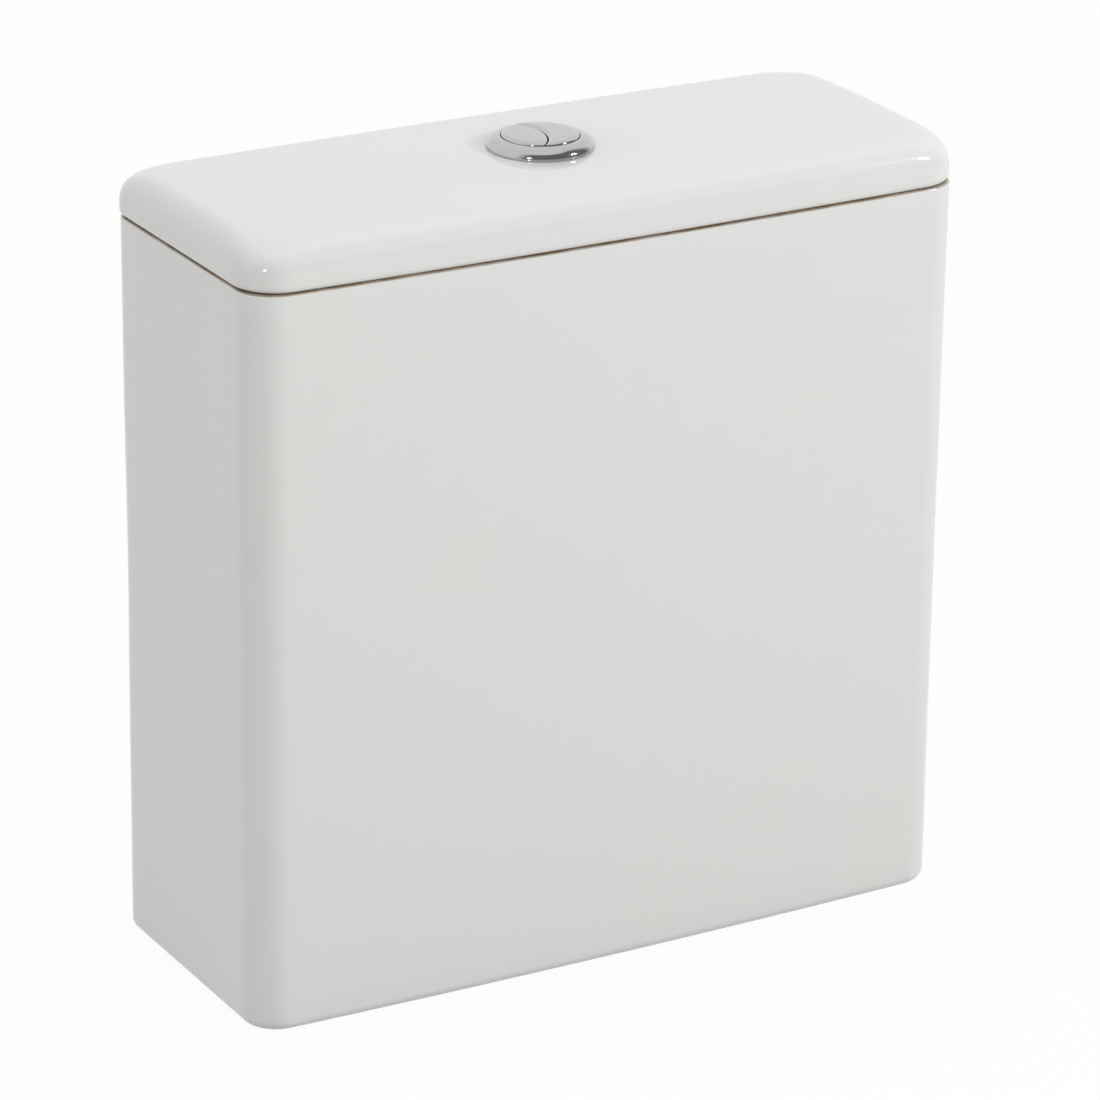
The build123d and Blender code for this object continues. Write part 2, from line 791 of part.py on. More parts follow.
def fill_valve_backnut():
    flange_low = skirt_h - inlet_nut_flange_t
    low = skirt_h - inlet_nut_h
    nut = hexagon(inlet_nut_flats, low, flange_low) + rod(inlet_nut_flange_r, flange_low, skirt_h)
    return inlet_axis * (nut - rod(shank_r + thread_gap, low, skirt_h))


def inlet_filter():
    """A slotted thimble in the inlet's bore."""
    outer = shank_bore_r - same_body_gap
    low = inlet_end_z + filter_rim_h
    top = low + filter_len
    body_r = outer - filter_wall_t
    thimble = rod(outer, low, low + filter_rim_h) + rod(body_r, low, top)
    thimble -= rod(body_r - filter_wall_t, low, top - filter_wall_t)
    slot = block((0, -filter_slot_w / 2, low + 2 * filter_rim_h),
                 (outer, filter_slot_w / 2, top - filter_rim_h))
    for copy in around(slot, filter_slots):
        thimble -= copy
    return inlet_axis * thimble


def fill_valve_column():
    return inlet_axis * ring(column_r, riser_r + same_body_gap, column_foot_z, head_z)


def column_lock_ring():
    low = column_foot_z
    high = low + lock_ring_h
    collar = rod(lock_ring_r, low, high)
    grip = Pos(lock_ring_r, 0, 0) * rod(lock_ring_grip_r, low, high)
    for copy in around(grip, lock_ring_grips):
        collar -= copy
    return inlet_axis * (collar - rod(column_r + same_body_gap, low, high))


def fill_valve_head():
    """The valve chamber, its side spout to the silencer tube and the float rod's guide."""
    top = cap_z - diaphragm_t
    spout_top = head_z + spout_h
    head = rod(head_r, head_z, top)
    head += finger(silencer_offset, silencer_r, head_z, spout_top)
    guide_x = float_rod_x - inlet_x
    head += finger(guide_x, bracket_w / 2, bracket_z, bracket_z + bracket_t)
    head -= Pos(guide_x, 0, 0) * rod(float_rod_r + slide_gap, bracket_z, bracket_z + bracket_t)
    chamber_r = head_r - head_wall_t
    head -= rod(chamber_r, head_z + head_floor_t, top)
    head += ring(shank_bore_r + head_wall_t, shank_bore_r, head_z, top)
    head -= rod(shank_bore_r, head_z, top)
    channel_r = silencer_r - 2 * silencer_wall_t
    head -= Pos(silencer_offset, 0, 0) * rod(channel_r, head_z, spout_top - silencer_wall_t)
    head -= block((chamber_r - silencer_wall_t, -spout_slot_w / 2, head_z + head_floor_t),
                  (silencer_offset, spout_slot_w / 2, spout_top - silencer_wall_t))
    return inlet_axis * head


def diaphragm():
    """The rubber disc that opens and shuts the water way, with a beaded edge."""
    low = cap_z - diaphragm_t
    disc = rod(head_r, low, cap_z)
    disc -= ring(head_r - head_wall_t, diaphragm_r - diaphragm_bead * 2, cap_z - diaphragm_bead,
                 cap_z)
    return inlet_axis * disc


def fill_valve_cap():
    """The screw cap over the diaphragm, with the pilot nozzle and the lever's ears."""
    low = cap_z
    top = cap_z + cap_h
    cap = rod(cap_r, low - cap_h, top)
    cap -= rod(head_r + same_body_gap, low - cap_h, low)
    ring_r = cap_r + same_body_gap
    grip = Pos(ring_r, 0, 0) * rod(cap_grip_r, low - cap_h, top)
    for copy in around(grip, cap_grips):
        cap -= copy
    cap += rod(nozzle_tip_r, top, top + nozzle_tip_h)
    cap -= rod(nozzle_tip_r / 2, low, top + nozzle_tip_h)
    inner = fill_lever_w / 2 + pin_gap + seat_gap
    ear_top = fill_pivot_z + fill_hub_r
    for side in (-1, 1):
        low_y, high_y = sorted((side * inner, side * (inner + ear_t)))
        ear = block((-fill_pivot_off - fill_hub_r, low_y, top),
                    (-fill_pivot_off + fill_hub_r, high_y, ear_top))
        cap += ear
    drill = Rot(90, 0, 0) * rod(fill_pin_r + thread_gap, -inner - ear_t, inner + ear_t)
    return inlet_axis * (cap - Pos(-fill_pivot_off, 0, fill_pivot_z) * drill)


def fill_valve_lever():
    """Forked on the float rod at one end, with the pilot's pad at the other."""
    reach = fill_arm + float_collar_r
    face = Pos(-reach / 2, 0) * Rectangle(reach, fill_lever_t)
    face += Pos(fill_pad_len / 2, 0) * Rectangle(fill_pad_len, fill_lever_t)
    face += Circle(fill_hub_r)
    face -= Circle(fill_pin_r + pin_gap)
    arm = extrude(Plane.XZ * face, amount=fill_lever_w / 2, both=True)
    slot_r = float_rod_r + fork_slot_gap
    arm -= Pos(-fill_arm, 0, 0) * rod(slot_r, -fill_lever_t, fill_lever_t)
    arm -= block((-reach, -slot_r, -fill_lever_t), (-fill_arm, slot_r, fill_lever_t))
    arm = Rot(0, -fill_half_turn, 0) * arm
    return inlet_axis * Pos(-fill_pivot_off, 0, fill_pivot_z) * arm


def fill_valve_lever_pin():
    half = fill_lever_w / 2 + ear_t + seat_gap + pin_gap
    pin = Rot(90, 0, 0) * rod(fill_pin_r, -half, half)
    return inlet_axis * Pos(-fill_pivot_off, 0, fill_pivot_z) * pin


def float_rod():
    """The rod from the float cup to the lever's fork, with a collar each side of the fork."""
    tilt = float_collar_r * sin(fill_half_turn * pi / 180)
    half_gap = fill_lever_t / 2 + tilt + seat_gap
    stem = rod(float_rod_r, cup_top_z - cup_boss_depth, float_rod_top_z)
    for side in (-1, 1):
        near = fork_z + side * half_gap
        far = near + side * float_collar_t
        stem += rod(float_collar_r, min(near, far), max(near, far))
    return float_axis * stem


def float_cup():
    low = cup_top_z - cup_h
    cup = rod(cup_r, low, cup_top_z)
    cup = chamfer(cup.edges().sort_by(Axis.Z)[-1], cup_edge)
    cup -= rod(cup_r - cup_wall_t, low, cup_top_z - cup_wall_t - cup_edge)
    boss_low = cup_top_z - cup_boss_depth - cup_wall_t
    cup += rod(cup_boss_r, boss_low, cup_top_z - cup_wall_t)
    bore = float_rod_r + thread_gap
    return float_axis * (cup - rod(bore, cup_top_z - cup_boss_depth, cup_top_z))


def silencer_tube():
    """The drop tube that leads the water quietly to the tank's floor."""
    top = head_z
    tube = ring(silencer_r, silencer_r - silencer_wall_t, silencer_foot_z, top)
    return inlet_axis * Pos(silencer_offset, 0, 0) * tube


nodes = {
    "cistern_body": cistern_body(),
    "lid": lid(),
    "button_bezel": button_bezel(),
    "button_housing": button_housing(),
    "button_foam_washer": button_foam_washer(),
    "button_clamp_nut": button_clamp_nut(),
    "half_flush_button": half_flush_button(),
    "full_flush_button": full_flush_button(),
    "half_push_rod": push_rod(-1),
    "full_push_rod": push_rod(1),
    "half_button_spring": button_spring(-1),
    "full_button_spring": button_spring(1),
    "full_flush_lever": lever(1),
    "half_flush_lever": lever(-1),
    "lever_pins": lever_pins(),
    "actuator_frame": actuator_frame(),
    "flush_valve_base": flush_valve_base(),
    "flush_valve_base_seal": flush_valve_base_seal(),
    "flush_valve_backnut": flush_valve_backnut(),
    "coupling_gasket": coupling_gasket(),
    "flush_valve_tower": flush_valve_tower(),
    "overflow_tube": overflow_tube(),
    "flush_seal": flush_seal(),
    "seal_retainer": seal_retainer(),
    "full_flush_link": full_flush_link(),
    "half_flush_link": half_flush_link(),
    "half_flush_float": half_flush_float(),
    "coupling_bolts": coupling_bolts(),
    "bolt_sealing_washers": bolt_sealing_washers(),
    "bolt_underfloor_washers": bolt_underfloor_washers(),
    "bolt_lock_nuts": bolt_lock_nuts(),
    "fill_valve_shank": fill_valve_shank(),
    "fill_valve_washer": fill_valve_washer(),
    "fill_valve_backnut": fill_valve_backnut(),
    "inlet_filter": inlet_filter(),
    "fill_valve_column": fill_valve_column(),
    "column_lock_ring": column_lock_ring(),
    "fill_valve_head": fill_valve_head(),
    "diaphragm": diaphragm(),
    "fill_valve_cap": fill_valve_cap(),
    "fill_valve_lever": fill_valve_lever(),
    "fill_valve_lever_pin": fill_valve_lever_pin(),
    "float_rod": float_rod(),
    "float_cup": float_cup(),
    "silencer_tube": silencer_tube(),
}

os.makedirs("parts", exist_ok=True)
for name, piece in nodes.items():
    solids = piece if isinstance(piece, list) else [piece]
    export_step(Compound(children=[s for shape in solids for s in shape.solids()]),
                f"parts/{name}.step")
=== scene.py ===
import json
from math import atan2, cos, hypot, pi, radians, sin, sqrt

import bmesh
import bpy
from bpy.props import FloatProperty, FloatVectorProperty, IntProperty, PointerProperty
from mathutils import Matrix, Vector, noise


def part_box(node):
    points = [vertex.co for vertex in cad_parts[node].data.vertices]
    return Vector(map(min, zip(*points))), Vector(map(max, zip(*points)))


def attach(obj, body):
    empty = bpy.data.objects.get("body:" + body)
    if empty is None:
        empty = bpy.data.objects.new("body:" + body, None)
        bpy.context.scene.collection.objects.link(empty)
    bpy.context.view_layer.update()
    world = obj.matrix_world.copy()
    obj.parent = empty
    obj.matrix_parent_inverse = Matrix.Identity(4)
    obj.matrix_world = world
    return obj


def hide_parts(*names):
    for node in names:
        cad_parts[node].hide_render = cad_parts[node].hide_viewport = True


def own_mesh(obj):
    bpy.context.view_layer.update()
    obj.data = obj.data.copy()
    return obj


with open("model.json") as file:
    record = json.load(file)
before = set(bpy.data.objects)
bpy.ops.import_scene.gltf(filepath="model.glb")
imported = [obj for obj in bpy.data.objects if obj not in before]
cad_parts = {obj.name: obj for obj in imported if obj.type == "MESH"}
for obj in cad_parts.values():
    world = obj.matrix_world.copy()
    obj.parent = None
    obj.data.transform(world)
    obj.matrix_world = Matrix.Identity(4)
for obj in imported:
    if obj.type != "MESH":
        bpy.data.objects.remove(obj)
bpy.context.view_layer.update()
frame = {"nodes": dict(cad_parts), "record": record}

bl_info = {
    "name": "Close-coupled Cistern",
    "version": (1, 0, 0),
    "blender": (4, 5, 0),
    "location": "View3D > Sidebar > Cistern",
    "description": "Builds a glazed toilet cistern with its lid, push buttons and valves",
    "category": "Add Mesh",
}

BODY_LOW, BODY_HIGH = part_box("cistern_body")
LID_LOW, LID_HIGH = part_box("lid")
BEZEL_LOW, BEZEL_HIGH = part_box("button_bezel")
HALF_LOW, HALF_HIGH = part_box("half_flush_button")
FULL_LOW, FULL_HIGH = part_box("full_flush_button")
SPRING_LOW, SPRING_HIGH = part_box("full_button_spring")
BOLTS_LOW, BOLTS_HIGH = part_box("coupling_bolts")
SHANK_LOW, SHANK_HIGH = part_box("fill_valve_shank")
SLEEVE_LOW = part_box("button_housing")[0]
WASHER_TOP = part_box("fill_valve_washer")[1].z
BUTTON_AXIS = (BEZEL_LOW + BEZEL_HIGH) / 2
SHANK_AXIS = (SHANK_LOW + SHANK_HIGH) / 2
BOLT_FLANGE = 0.010
BOLT_AXES = [Vector((side * (BOLTS_HIGH.x - BOLT_FLANGE), BUTTON_AXIS.y, 0)) for side in (-1, 1)]


# Sizes and colours

def number(name, about, value, **more):
    """A property that holds a plain number."""
    return FloatProperty(name=name, description=about, default=value, **more)


def length(name, about, value, **more):
    """A property that holds a length in metres."""
    return number(name, about, value, unit="LENGTH", **more)


def rotation(name, about, value):
    """A property that holds an angle in radians."""
    return number(name, about, value, unit="ROTATION")


def colour(name, about, value):
    """A property that holds a linear colour."""
    return FloatVectorProperty(name=name, description=about, subtype="COLOR",
                               size=3, min=0, max=1, default=value)


class ChinaSizes(bpy.types.PropertyGroup):
    """The cast china: walls, corners and edges."""
    wall: length("Wall", "Thickness of the tank's walls", 0.009, min=0.004)
    floor_low: length("Recess height", "Height of the tank floor's underside", 0.038)
    floor_high: length("Floor height", "Height of the tank's floor", 0.049)
    bow: length("Front bow", "How far the front bulges in its middle", 0.003)
    front_corner: length("Front corner", "Radius of the front's upright corners", 0.0171)
    back_corner: length("Back corner", "Radius of the back's upright corners", 0.014)
    floor_round: length("Floor round", "Radius between the tank's walls and its floor", 0.006)
    foot_edge: length("Foot edge", "Radius of the lower outside edge", 0.0055)
    rim_edge: length("Rim edge", "Radius of the rim under the lid", 0.0016)
    bare_rim: length("Bare rim", "Height of the unglazed band on each side of the seam", 0.0011)
    sink: length("Wall sink", "How far the walls sink in at half height", 0.0005)
    unevenness: length("Unevenness", "Slow waves that casting and firing leave", 0.0003)
    flush_hole: length("Flush hole", "Radius of the hole for the flush valve's tail", 0.0315)
    bolt_hole: length("Bolt hole", "Radius of the holes for the coupling bolts", 0.006)
    inlet_hole: length("Inlet hole", "Radius of the hole for the fill valve's shank", 0.013)


class LidSizes(bpy.types.PropertyGroup):
    """The lid: its pillowed edge, its crown and the lip that seats it."""
    edge_in: length("Edge inwards", "How far the rolled top edge reaches in", 0.0140)
    edge_down: length("Edge downwards", "How far the rolled top edge reaches down", 0.0172)
    edge_power: number("Edge power", "2 rolls the edge evenly, more keeps its side upright",
                       2.8, min=2)
    front_corner: length("Front corner", "Radius of the front's corners at the seam", 0.0205)
    top_corner: length("Top corner", "Corner radius of the flat of the top", 0.035)
    crown: length("Crown", "Drop of the top from its middle to the front and back", 0.0023)
    end_drop: length("End drop", "Drop of the top from its middle to the ends", 0.0007)
    foot_edge: length("Lower edge", "Radius of the lower outside edge", 0.0028)
    ceiling: length("Top thickness", "Thickness of the china over the hollow", 0.010)
    lip_out: length("Lip place", "Distance of the seating lip from the body's outside", 0.0115)
    lip_wall: length("Lip thickness", "Thickness of the seating lip", 0.006)
    hole: length("Button hole", "Radius of the hole for the button's sleeve", 0.0223)


class ButtonSizes(bpy.types.PropertyGroup):
    """The chrome bezel and its two push buttons."""
    bore: length("Bore", "Radius of the bezel's bore", 0.0182)
    bezel_round: length("Bezel round", "How far the bezel's outer round reaches in", 0.0062)
    bezel_edge: length("Bezel edge", "Height of the bezel's upright edge", 0.0006)
    bezel_lip: length("Bezel lip", "Radius of the edge at the bezel's bore", 0.0003)
    disc: length("Disc", "Radius of the two buttons together", 0.0179)
    proud: length("Proud", "How far the buttons' tops stand above the bezel", 0.0015)
    roll: length("Rolled edge", "How far the buttons' rolled edges reach in", 0.0026)
    roll_drop: length("Edge drop", "How far the buttons' rolled edges reach down", 0.0012)
    dome: length("Dome", "Rise of the buttons' tops in their middle", 0.0003)
    split_radius: length("Split radius", "Radius of the curve that parts the buttons", 0.0237)
    split_peak: length("Split place", "Where the curve crosses the disc's middle line", 0.0016)
    split_gap: length("Split gap", "Gap between the two buttons", 0.0005)
    split_turn: rotation("Split turn", "Turn of the split about the button's axis", radians(-5.5))
    cap: length("Cap", "Thickness of each button's top", 0.0034)
    skirt: length("Skirt wall", "Thickness of the skirt under each button", 0.0012)
    rod_place: length("Rod place", "Distance of the push rods from the middle, along X and Y",
                      0.0075)
    coil_turns: IntProperty(
        name="Coil turns", description="Turns of each return spring", default=8, min=3)
    coil: length("Coil", "Radius of each return spring, to the middle of its wire", 0.0049)
    wire: length("Spring wire", "Radius of the springs' wire", 0.00055)


class ThreadSizes(bpy.types.PropertyGroup):
    """Screw threads, which the CAD keeps as plain bars."""
    bolt_pitch: length("Bolt pitch", "Pitch of the coupling bolts' thread", 0.00125)
    inlet_pitch: length("Inlet pitch", "Pitch of the inlet's half-inch pipe thread", 0.001814)
    sleeve_pitch: length("Sleeve pitch", "Pitch of the button sleeve's thread", 0.003)


class FinishColours(bpy.types.PropertyGroup):
    """Colours of the glaze, the metals and the mouldings."""
    glaze: colour("Glaze", "White glaze", (0.80, 0.80, 0.795))
    bare_china: colour("Bare china", "Unglazed edge at the seam", (0.34, 0.245, 0.16))
    chrome: colour("Chrome", "Plated bezel and buttons", (0.52, 0.527, 0.54))
    steel: colour("Steel", "Bolts, nuts and pins", (0.56, 0.56, 0.55))
    spring: colour("Spring wire", "Drawn stainless wire", (0.60, 0.60, 0.60))
    white: colour("White moulding", "Valve bodies and float", (0.80, 0.80, 0.78))
    grey: colour("Grey moulding", "Frame, tube and cap", (0.36, 0.39, 0.42))
    light: colour("Light moulding", "Button housing and rods", (0.60, 0.61, 0.62))
    blue: colour("Blue moulding", "Levers, links and lock ring", (0.035, 0.13, 0.36))
    filter_blue: colour("Filter", "Inlet filter", (0.06, 0.25, 0.50))
    black: colour("Black moulding", "Backnuts", (0.022, 0.022, 0.024))
    rubber: colour("Rubber", "Gasket and washers", (0.018, 0.018, 0.019))
    silicone: colour("Silicone", "Flush seal", (0.42, 0.045, 0.03))
    foam: colour("Foam", "Washer under the lid", (0.10, 0.10, 0.105))


class StudioSettings(bpy.types.PropertyGroup):
    """The camera's place and the lamps' strength."""
    azimuth: rotation("Azimuth", "Camera's turn about the cistern", radians(-29.76))
    elevation: rotation("Elevation", "Camera's height above the horizon", radians(21.41))
    roll: rotation("Roll", "Camera's tilt about its own axis", radians(0.75))
    distance: length("Distance", "Camera's distance from its aim", 2.54291)
    lens: number("Lens", "Focal length in millimetres on a 36 mm sensor", 178.94)
    aim_height: length("Aim height", "Height of the point that the camera aims at", 0.190)
    shift_right: length("Aim right", "Camera's sideways move in its own plane", 0.00498)
    shift_up: length("Aim up", "Camera's upward move in its own plane", -0.00929)
    left_lamp: number("Left lamp", "Power of the lamp at the front left, in watts", 3.5, min=0)
    right_lamp: number("Right lamp", "Power of the lamp at the front right, in watts", 28.5, min=0)
    fill: number("Fill", "Power of the wide soft fill in front, in watts", 34.5, min=0)
    left_fill: number("Left fill", "Power of the wide soft fill at the left, in watts", 5.5, min=0)
    room: number("Room", "Strength of the room's light overhead", 0.865, min=0)
    room_back: number("Room behind", "Share of that light behind, at the horizon", 0.9, min=0)
    room_front: number("Room in front", "Share of that light on the camera's side",
                       0.2, min=0, max=1)


GROUPS = {
    "cistern_china": ChinaSizes,
    "cistern_lid": LidSizes,
    "cistern_buttons": ButtonSizes,
    "cistern_threads": ThreadSizes,
    "cistern_colours": FinishColours,
    "cistern_studio": StudioSettings,
}


# Materials

def calculate(tree, kind, first, second):
    """The output of a maths node fed with outputs or plain numbers."""
    node = tree.nodes.new("ShaderNodeMath")
    node.operation = kind
    for value, socket in zip((first, second), node.inputs):
        if isinstance(value, float):
            socket.default_value = value
        else:
            tree.links.new(value, socket)
    return node.outputs["Value"]


def ranged(tree, value, ends, results, kind="LINEAR"):
    """A value mapped from one range, its ends, to another, its results."""
    node = tree.nodes.new("ShaderNodeMapRange")
    node.interpolation_type = kind
    names = ("From Min", "From Max", "To Min", "To Max")
    for name, bound in zip(names, (*ends, *results)):
        node.inputs[name].default_value = bound
    tree.links.new(value, node.inputs["Value"])
    return node.outputs["Result"]


class Nodes:
    """A material's node tree, with short calls for the nodes that the finishes share."""

    def __init__(self, name):
        self.material = bpy.data.materials.new(name)
        self.material.use_nodes = True
        self.tree = self.material.node_tree
        self.shader = self.tree.nodes["Principled BSDF"]
        self.place = self.tree.nodes.new("ShaderNodeTexCoord").outputs["Object"]

    def link(self, source, target):
        self.tree.links.new(source, target)

    def set(self, **values):
        """Uniform values for the shader's sockets, named with _ for a space."""
        for name, value in values.items():
            self.shader.inputs[name.replace("_", " ")].default_value = value

    def feed(self, **outputs):
        """Outputs that drive the shader's sockets, named with _ for a space."""
        for name, output in outputs.items():
            self.link(output, self.shader.inputs[name.replace("_", " ")])

    def cloud(self, scale, detail=3.0, rough=0.5, stretch=None):
        """Smooth noise over the object's own coordinates, around 0.5."""
        place = self.place
        if stretch:
            mapping = self.tree.nodes.new("ShaderNodeMapping")
            mapping.inputs["Scale"].default_value = stretch
            self.link(place, mapping.inputs["Vector"])
            place = mapping.outputs["Vector"]
        node = self.tree.nodes.new("ShaderNodeTexNoise")
        for name, value in (("Scale", scale), ("Detail", detail), ("Roughness", rough)):
            node.inputs[name].default_value = value
        self.link(place, node.inputs["Vector"])
        return node.outputs["Fac"]

    def spread(self, value, low, high, start=0.3, end=0.7):
        """A cloud's usual values, start to end, mapped to low and high."""
        return ranged(self.tree, value, (start, end), (low, high))

    def mix(self, share, first, second):
        """Two colours, or outputs, mixed by a share."""
        node = self.tree.nodes.new("ShaderNodeMix")
        node.data_type = "RGBA"
        self.link(share, node.inputs["Factor"])
        colours = [s for s in node.inputs if s.type == "RGBA"]
        for socket, value in zip(colours, (first, second)):
            if isinstance(value, bpy.types.NodeSocket):
                self.link(value, socket)
            else:
                socket.default_value = (*value, 1)
        return [s for s in node.outputs if s.type == "RGBA"][0]

    def mottled(self, value, darker, scale, detail=3.0):
        """A colour that a cloud mixes with a darker or paler one."""
        return self.mix(self.spread(self.cloud(scale, detail), 0, 1), value, darker)

    def bump(self, height, distance):
        node = self.tree.nodes.new("ShaderNodeBump")
        node.inputs["Distance"].default_value = distance
        node.inputs["Strength"].default_value = 1.0
        self.link(height, node.inputs["Height"])
        self.feed(Normal=node.outputs["Normal"])


def scaled(value, factor):
    """A colour made darker or paler."""
    return tuple(min(1.0, part * factor) for part in value)


def glaze(name, glazed, bare):
    """White glaze over china. Between the heights glazed and bare it wears off at the seam."""
    colours = bpy.context.scene.cistern_colours
    nodes = Nodes(name)
    nodes.set(Roughness=0.09, IOR=1.52)
    warm = tuple(part * share for part, share in zip(colours.glaze, (1.0, 0.998, 0.990)))
    tone = nodes.mottled(colours.glaze, warm, 9.0, 2.0)
    parts = nodes.tree.nodes.new("ShaderNodeSeparateXYZ")
    nodes.link(nodes.place, parts.inputs["Vector"])
    edge = nodes.spread(parts.outputs["Z"], 0.0, 1.0, glazed, bare)
    patchy = nodes.spread(nodes.cloud(60.0, 4.0), 0.75, 1.0, 0.35, 0.6)
    clay = nodes.mottled(colours.bare_china, scaled(colours.bare_china, 0.75), 400.0)
    tone = nodes.mix(calculate(nodes.tree, "MULTIPLY", edge, patchy), tone, clay)
    nodes.feed(Base_Color=tone, Roughness=nodes.spread(nodes.cloud(30.0), 0.07, 0.13))
    nodes.bump(nodes.cloud(55.0, 2.0), 0.00006)
    return nodes.material


def chrome(nodes, value):
    """Bright plate with faint handling marks."""
    nodes.set(Metallic=1.0, Roughness=0.12)
    marks = nodes.cloud(900.0, 4.0, 0.6, (1.0, 0.12, 1.0))
    nodes.feed(Base_Color=nodes.mottled(value, scaled(value, 0.93), 120.0),
               Roughness=nodes.spread(marks, 0.07, 0.14))
    nodes.bump(nodes.cloud(260.0), 0.000008)


def steel(nodes, value, lay):
    """Drawn or plated steel with lines along its lay."""
    nodes.set(Metallic=1.0, Roughness=0.3)
    lines = nodes.cloud(1500.0, 3.0, 0.6, lay)
    nodes.feed(Base_Color=nodes.mottled(value, scaled(value, 0.78), 350.0),
               Roughness=nodes.spread(lines, 0.22, 0.42))
    nodes.bump(lines, 0.00001)


def moulding(nodes, value, gloss=0.34, grain=0.000012):
    """Moulded plastic with a fine spark texture and a slight change in its tone."""
    nodes.set(IOR=1.49)
    nodes.feed(Base_Color=nodes.mottled(value, scaled(value, 0.9), 40.0),
               Roughness=nodes.spread(nodes.cloud(140.0), gloss - 0.05, gloss + 0.08))
    nodes.bump(nodes.cloud(2600.0, 2.0), grain)


def rubber(nodes, value, dust=1.7):
    """Matt rubber with a dusty bloom."""
    nodes.set(IOR=1.5)
    nodes.feed(Base_Color=nodes.mottled(value, scaled(value, dust), 90.0, 5.0),
               Roughness=nodes.spread(nodes.cloud(300.0), 0.58, 0.78))
    nodes.bump(nodes.cloud(1800.0, 3.0), 0.00003)


def foam(nodes, value):
    """Closed-cell foam with fine open pits, their hollows painted darker as shade."""
    nodes.set(Roughness=0.95)
    cells = nodes.tree.nodes.new("ShaderNodeTexVoronoi")
    cells.inputs["Scale"].default_value = 1400.0
    nodes.link(nodes.place, cells.inputs["Vector"])
    depth = cells.outputs["Distance"]
    # painted shade: the middle of each cell, the pit, is mixed darker and its rim paler
    nodes.feed(Base_Color=nodes.mix(nodes.spread(depth, 0, 1, 0.0, 0.6),
                                    scaled(value, 0.45), scaled(value, 1.2)))
    nodes.bump(depth, 0.0002)


FINISHES = {  # by slot: what makes it, its colour and more for its maker
    "chrome": (chrome, "chrome"),
    "button_grey": (moulding, "light", 0.40),
    "valve_white": (moulding, "white"),
    "valve_grey": (moulding, "grey"),
    "valve_blue": (moulding, "blue", 0.30),
    "nut_black": (moulding, "black", 0.42, 0.00002),
    "rubber_black": (rubber, "rubber"),
    "seal_silicone": (rubber, "silicone", 1.15),
    "foam_grey": (foam, "foam"),
    "spring_steel": (steel, "spring", (1.0, 1.0, 1.0)),
    "bolt_steel": (steel, "steel", (0.2, 0.2, 1.0)),
    "filter_blue": (moulding, "filter_blue", 0.30),
}


def finish(slot):
    """The one material of each of the record's slots, except the china's."""
    name = "cistern_" + slot
    found = bpy.data.materials.get(name)
    if found:
        return found
    maker, key, *more = FINISHES[slot]
    nodes = Nodes(name)
    maker(nodes, getattr(bpy.context.scene.cistern_colours, key), *more)
    return nodes.material


# Meshes

SAME_POINT = 1e-7
BAR_SIDES = 48


def new_mesh(name, points, faces):
    """A mesh without doubled points, its faces turned outwards."""
    mesh = bpy.data.meshes.new(name)
    mesh.from_pydata([tuple(p) for p in points], [], faces)
    work = bmesh.new()
    work.from_mesh(mesh)
    bmesh.ops.remove_doubles(work, verts=work.verts, dist=SAME_POINT)
    bmesh.ops.recalc_face_normals(work, faces=work.faces)
    work.to_mesh(mesh)
    work.free()
    return mesh


def new_object(name, data):
    """An object in the scene."""
    thing = bpy.data.objects.new(name, data)
    bpy.context.scene.collection.objects.link(thing)
    return thing


def add_piece(name, skin, slot, body, replaces=(), sharp=40.0, material=None, cutters=()):
    """A mesh piece in place, with its finish, its body and the CAD nodes that it stands for."""
    piece = new_object(name, new_mesh(name, *skin))
    drill(piece, cutters)
    piece.data.materials.append(material or finish(slot))
    piece.data.shade_smooth()
    piece.data.set_sharp_from_angle(angle=radians(sharp))
    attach(piece, body)
    if replaces:
        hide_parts(*replaces)
    return piece


def drill(piece, cutters):
    """Cuts closed skins out of a piece's mesh."""
    for points, faces in cutters:
        mesh = new_mesh("cutter", points, faces)
        cutter = new_object("cutter", mesh)
        modifier = piece.modifiers.new("hole", "BOOLEAN")
        modifier.operation = "DIFFERENCE"
        modifier.solver = "EXACT"
        modifier.object = cutter
        graph = bpy.context.evaluated_depsgraph_get()
        cut = bpy.data.meshes.new_from_object(piece.evaluated_get(graph))
        piece.modifiers.clear()
        old = piece.data
        piece.data = cut
        bpy.data.meshes.remove(old)
        bpy.data.objects.remove(cutter)
        bpy.data.meshes.remove(mesh)


def loft(rings, closed=False):
    """Points and faces of a skin through rings that have the same number of points."""
    count = len(rings[0])
    points = [p for ring in rings for p in ring]
    faces = []
    spans = len(rings) if closed else len(rings) - 1
    for row in range(spans):
        low, high = row * count, (row + 1) % len(rings) * count
        for i in range(count):
            j = (i + 1) % count
            faces.append((low + i, low + j, high + j, high + i))
    return points, faces


def capped(rings):
    """A loft with a fan over its first and its last ring."""
    points, faces = loft(rings)
    count = len(rings[0])
    for ring, start in ((rings[0], 0), (rings[-1], len(points) - count)):
        points.append(sum((Vector(p) for p in ring), Vector()) / count)
        middle = len(points) - 1
        faces += [(start + i, start + (i + 1) % count, middle) for i in range(count)]
    return points, faces


def joined(*skins):
    """Several skins' points and faces as one."""
    points, faces = [], []
    for more, ways in skins:
        start = len(points)
        points += list(more)
        faces += [tuple(start + i for i in way) for way in ways]
    return points, faces


def around(axis, radius, angle, height):
    """A point on a circle about an upright axis."""
    return Vector((axis.x + radius * cos(angle), axis.y + radius * sin(angle), height))


def lathe(profile, axis, segments, groove=lambda angle, height: 0):
    """Rings of radii and heights about an upright axis. groove says how far a point moves in."""
    angles = [2 * pi * i / segments for i in range(segments)]
    return [[around(axis, radius - groove(angle, height), angle, height) for angle in angles]
            for radius, height in profile]


def bar(axis, radius, low, high):
    """A closed round bar."""
    return capped(lathe([(radius, low), (radius, high)], axis, BAR_SIDES))


def quarter(steps):
    """Sines and cosines at even steps through a quarter turn."""
    angles = [pi / 2 * i / steps for i in range(steps + 1)]
    return [(sin(angle), cos(angle)) for angle in angles]


